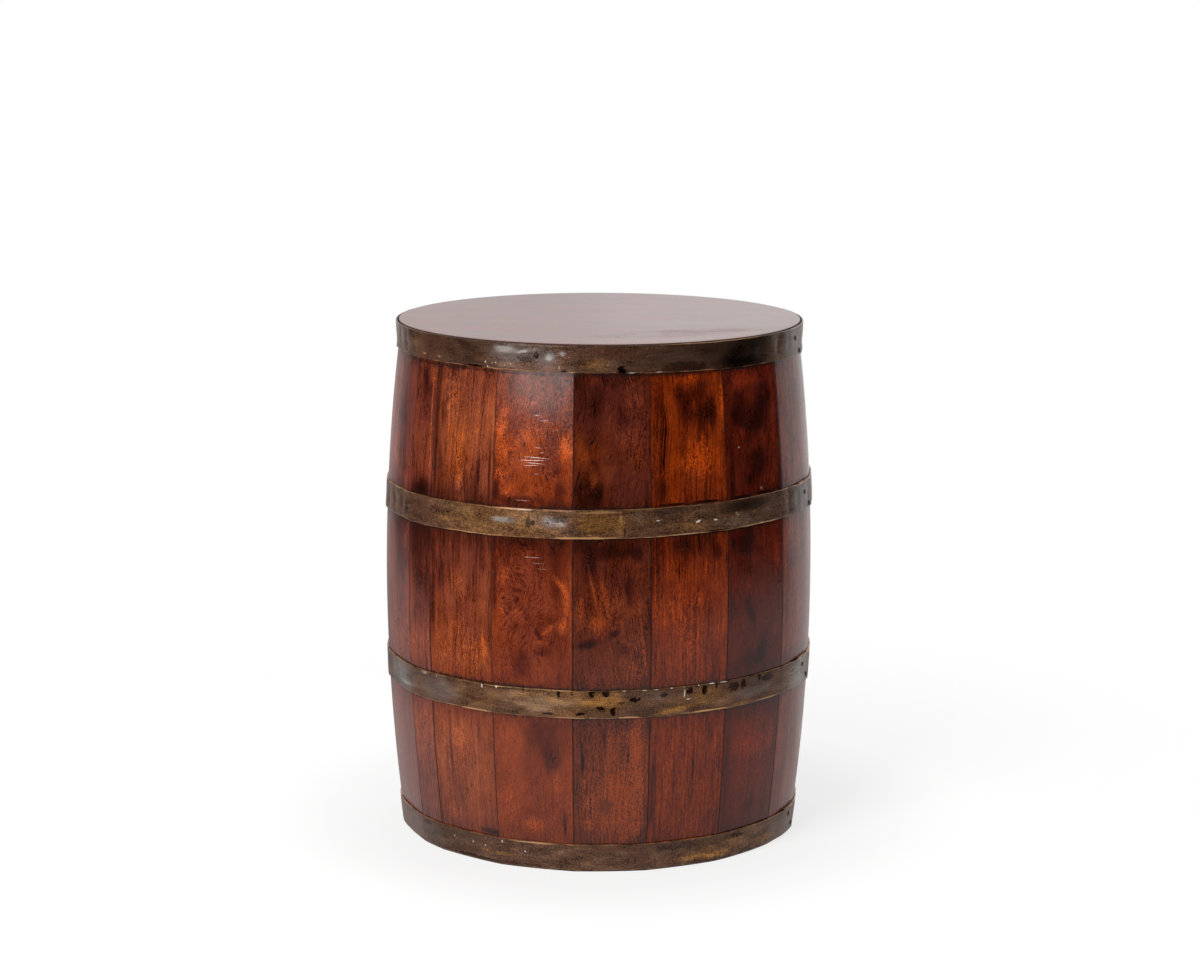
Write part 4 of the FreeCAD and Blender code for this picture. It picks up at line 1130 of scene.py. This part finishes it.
def build_pins(name):
    """Set one peened head on the hoop's face at each pin."""
    points, faces = [], []
    rings = len(PIN_PROFILE)
    for count, (azimuth, height) in enumerate(pin_places(name + "_pins")):
        level = height - hoop_rise(name, azimuth)
        travelled = (azimuth - LAP_START) % 360
        if travelled + 360 <= HOOP_LENGTH:
            travelled += 360
        foot = at(azimuth, hoop_radius(name, travelled, level), height)
        above = at(azimuth, hoop_radius(name, travelled, level + SLOPE_STEP), height + SLOPE_STEP)
        side = Vector((math.cos(math.radians(azimuth)), math.sin(math.radians(azimuth)), 0))
        up = (above - foot).normalized()
        out = side.cross(up)
        start = len(points)
        for width, rise in PIN_PROFILE:
            for turn in range(PIN_SIDES):
                angle = math.tau * turn / PIN_SIDES
                uneven = 1 + PIN_UNEVENNESS * ripple(count * 3.7, turn, 0, 4, 1)
                points.append(foot + MM * (width * uneven * (math.cos(angle) * side + math.sin(angle) * up)
                                           + rise * out))
        faces += quads_between(rings, PIN_SIDES, start)
        last = start + (rings - 1) * PIN_SIDES
        faces.append([start + turn for turn in reversed(range(PIN_SIDES))])
        faces.append([last + turn for turn in range(PIN_SIDES)])
    return new_mesh(name + "_pins_peened", points, faces)


def pin_metal():
    """Dark patinated brass, rubbed lighter in places."""
    brass = Finish("pin_patina")
    place = brass.node("TexCoord", out="Object")
    wear = brass.cloud(place, (0.0016, 0.0016, 0.0016), detail=3)
    colour = brass.ramp(wear, (0.3, (0.02, 0.012, 0.008)), (0.55, (0.1, 0.058, 0.032)),
                        (0.75, (0.3, 0.2, 0.11)))
    return brass.done(colour, brass.step(wear, 0.3, 0.7, 0.35, 0.5), metallic=0.7)


pin_material = pin_metal()
for name in HOOPS:
    pins = new_piece(name + "_pins_peened", build_pins(name), pin_material)
    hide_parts(name + "_pins")


# --- Floor, light and camera --------------------------------------------------------------------------
# A pale floor, a white paper sweep round the back and sides, a dark room in front, a tall soft lamp at the
# front left, weak ones at both sides, and a camera a little above the tabletop.

FLOOR_HALF = 2
WHITE = (1, 1, 1)
# The azimuths between which the sweep brightens, and how bright it gets; on the left that differs.
RIGHT_SWEEP = (111, 123, 0.62)
LEFT_SWEEP = (128, 156)
BACK_SWEEP = (135, 165, 0.42)
LEFT_ON_FLOOR = 0.6
LEFT_ON_WALL = 0.46
DARK_ROOM = 0.015


def sweep_light(recipe, direction, left_level):
    """How bright the studio is in a direction from the table."""
    def rises(angle, start, end, level):
        return recipe.step(angle, math.radians(start), math.radians(end), 0.0, level)

    parts = recipe.split(direction)
    azimuth = recipe.math("ARCTAN2", parts[0], recipe.times(parts[1], -1.0))
    right = rises(azimuth, *RIGHT_SWEEP)
    left = rises(recipe.times(azimuth, -1.0), *LEFT_SWEEP, left_level)
    back = rises(recipe.math("ABSOLUTE", azimuth), *BACK_SWEEP)
    return recipe.math("ADD", recipe.math("ADD", left, right), recipe.math("ADD", back, DARK_ROOM))


def build_floor():
    """A pale floor that the camera sees as white, but for the table's faint shadow, part of it painted."""
    grid = bmesh.new()
    bmesh.ops.create_grid(grid, x_segments=8, y_segments=8, size=FLOOR_HALF)
    mesh = bpy.data.meshes.new("floor")
    grid.to_mesh(mesh)
    grid.free()
    paper = Finish("floor_paper")
    place = paper.node("NewGeometry", out="Position")
    reach = paper.node("VectorMath", place, operation="LENGTH", out="Value")
    # The white that the camera sees dims a little near the table, a painted shadow; the diffuse part adds
    # the real one.
    lit = paper.node("Emission", WHITE, paper.step(reach, 0.2, 0.36, 0.745, 0.83))
    near = paper.node("AddShader", lit, paper.node("BsdfDiffuse", (0.28, 0.28, 0.28)))
    seen = paper.node("MixShader", paper.step(reach, 0.3, 0.8), near, paper.node("Emission", WHITE, 1.0))
    # What reflections see of the floor: painted pools of light beside and behind the table, and the
    # studio's sweep.
    beside = paper.node("VectorMath", place, (0.35, 0, 0), operation="DISTANCE", out="Value")
    behind = paper.node("VectorMath", place, (-0.5, 0.6, 0), operation="DISTANCE", out="Value")
    glow = paper.math("MAXIMUM", paper.step(beside, 0.7, 1.2, 0.5, 0.0),
                      paper.step(behind, 0.6, 0.85, 0.32, 0.0))
    glow = paper.math("MAXIMUM", glow, sweep_light(paper, place, LEFT_ON_FLOOR))
    mirrored = paper.node("Emission", WHITE, glow)
    rays = paper.node("LightPath").node.outputs
    plain = paper.node("BsdfDiffuse", (0.8, 0.8, 0.8))
    surface = paper.node("MixShader", rays["Is Glossy Ray"], plain, mirrored)
    surface = paper.node("MixShader", rays["Is Camera Ray"], surface, seen)
    paper.put(paper.tree.nodes["Material Output"].inputs["Surface"], surface)
    mesh.materials.append(paper.material)
    return put_in_scene("floor", mesh)


build_floor()

world = bpy.data.worlds.new("studio")
world.use_nodes = True
bpy.context.scene.world = world
room = Recipe(world.node_tree)
direction = room.node("TexCoord", out="Generated")
studio = sweep_light(room, direction, LEFT_ON_WALL)
brightness = room.node("Mix", room.node("LightPath", out="Is Camera Ray"), studio, 1.0)
backdrop = room.tree.nodes["Background"]
room.put(backdrop.inputs["Strength"], brightness)
room.put(backdrop.inputs["Color"], WHITE)


def add_lamp(name, azimuth, distance, height, size, power, aim, diffuse=True, glossy=True):
    """A rectangular soft lamp that faces a point on the table's axis."""
    light = bpy.data.lights.new(name, "AREA")
    light.shape = "RECTANGLE"
    light.size, light.size_y = size
    light.energy = power
    lamp = put_in_scene(name, light)
    lamp.location = at(azimuth, distance, height)
    direction = Vector((0, 0, aim)) - lamp.location
    lamp.rotation_euler = direction.to_track_quat("-Z", "Y").to_euler()
    lamp.visible_diffuse = diffuse
    lamp.visible_glossy = glossy


add_lamp("key_softbox", azimuth=-30, distance=1.8, height=1.1, size=(0.9, 1.25), power=32, aim=0.3,
         glossy=False)
add_lamp("softbox_face", azimuth=-32, distance=1.8, height=0.97, size=(0.74, 1.04), power=6.2, aim=0.97,
         diffuse=False)
add_lamp("left_fill", azimuth=-78, distance=1.6, height=0.35, size=(0.9, 0.6), power=8, aim=0.15,
         glossy=False)
add_lamp("right_fill", azimuth=85, distance=2.0, height=0.6, size=(1.0, 1.0), power=10, aim=0.2,
         glossy=False)

CAMERA_PLACE = (0, -2.6894, 0.8061)
CAMERA_DIP = 10.46
CAMERA_ROLL = 0.165
camera_data = bpy.data.cameras.new("camera")
camera_data.lens = 91.42
camera_data.sensor_width = 36
camera_data.shift_x = 0.00074
camera = put_in_scene("camera", camera_data)
camera.matrix_world = (Matrix.Translation(CAMERA_PLACE)
                       @ Matrix.Rotation(math.radians(90 - CAMERA_DIP), 4, "X")
                       @ Matrix.Rotation(math.radians(CAMERA_ROLL), 4, "Z"))
bpy.context.scene.camera = camera
bpy.context.scene.view_settings.view_transform = "Standard"
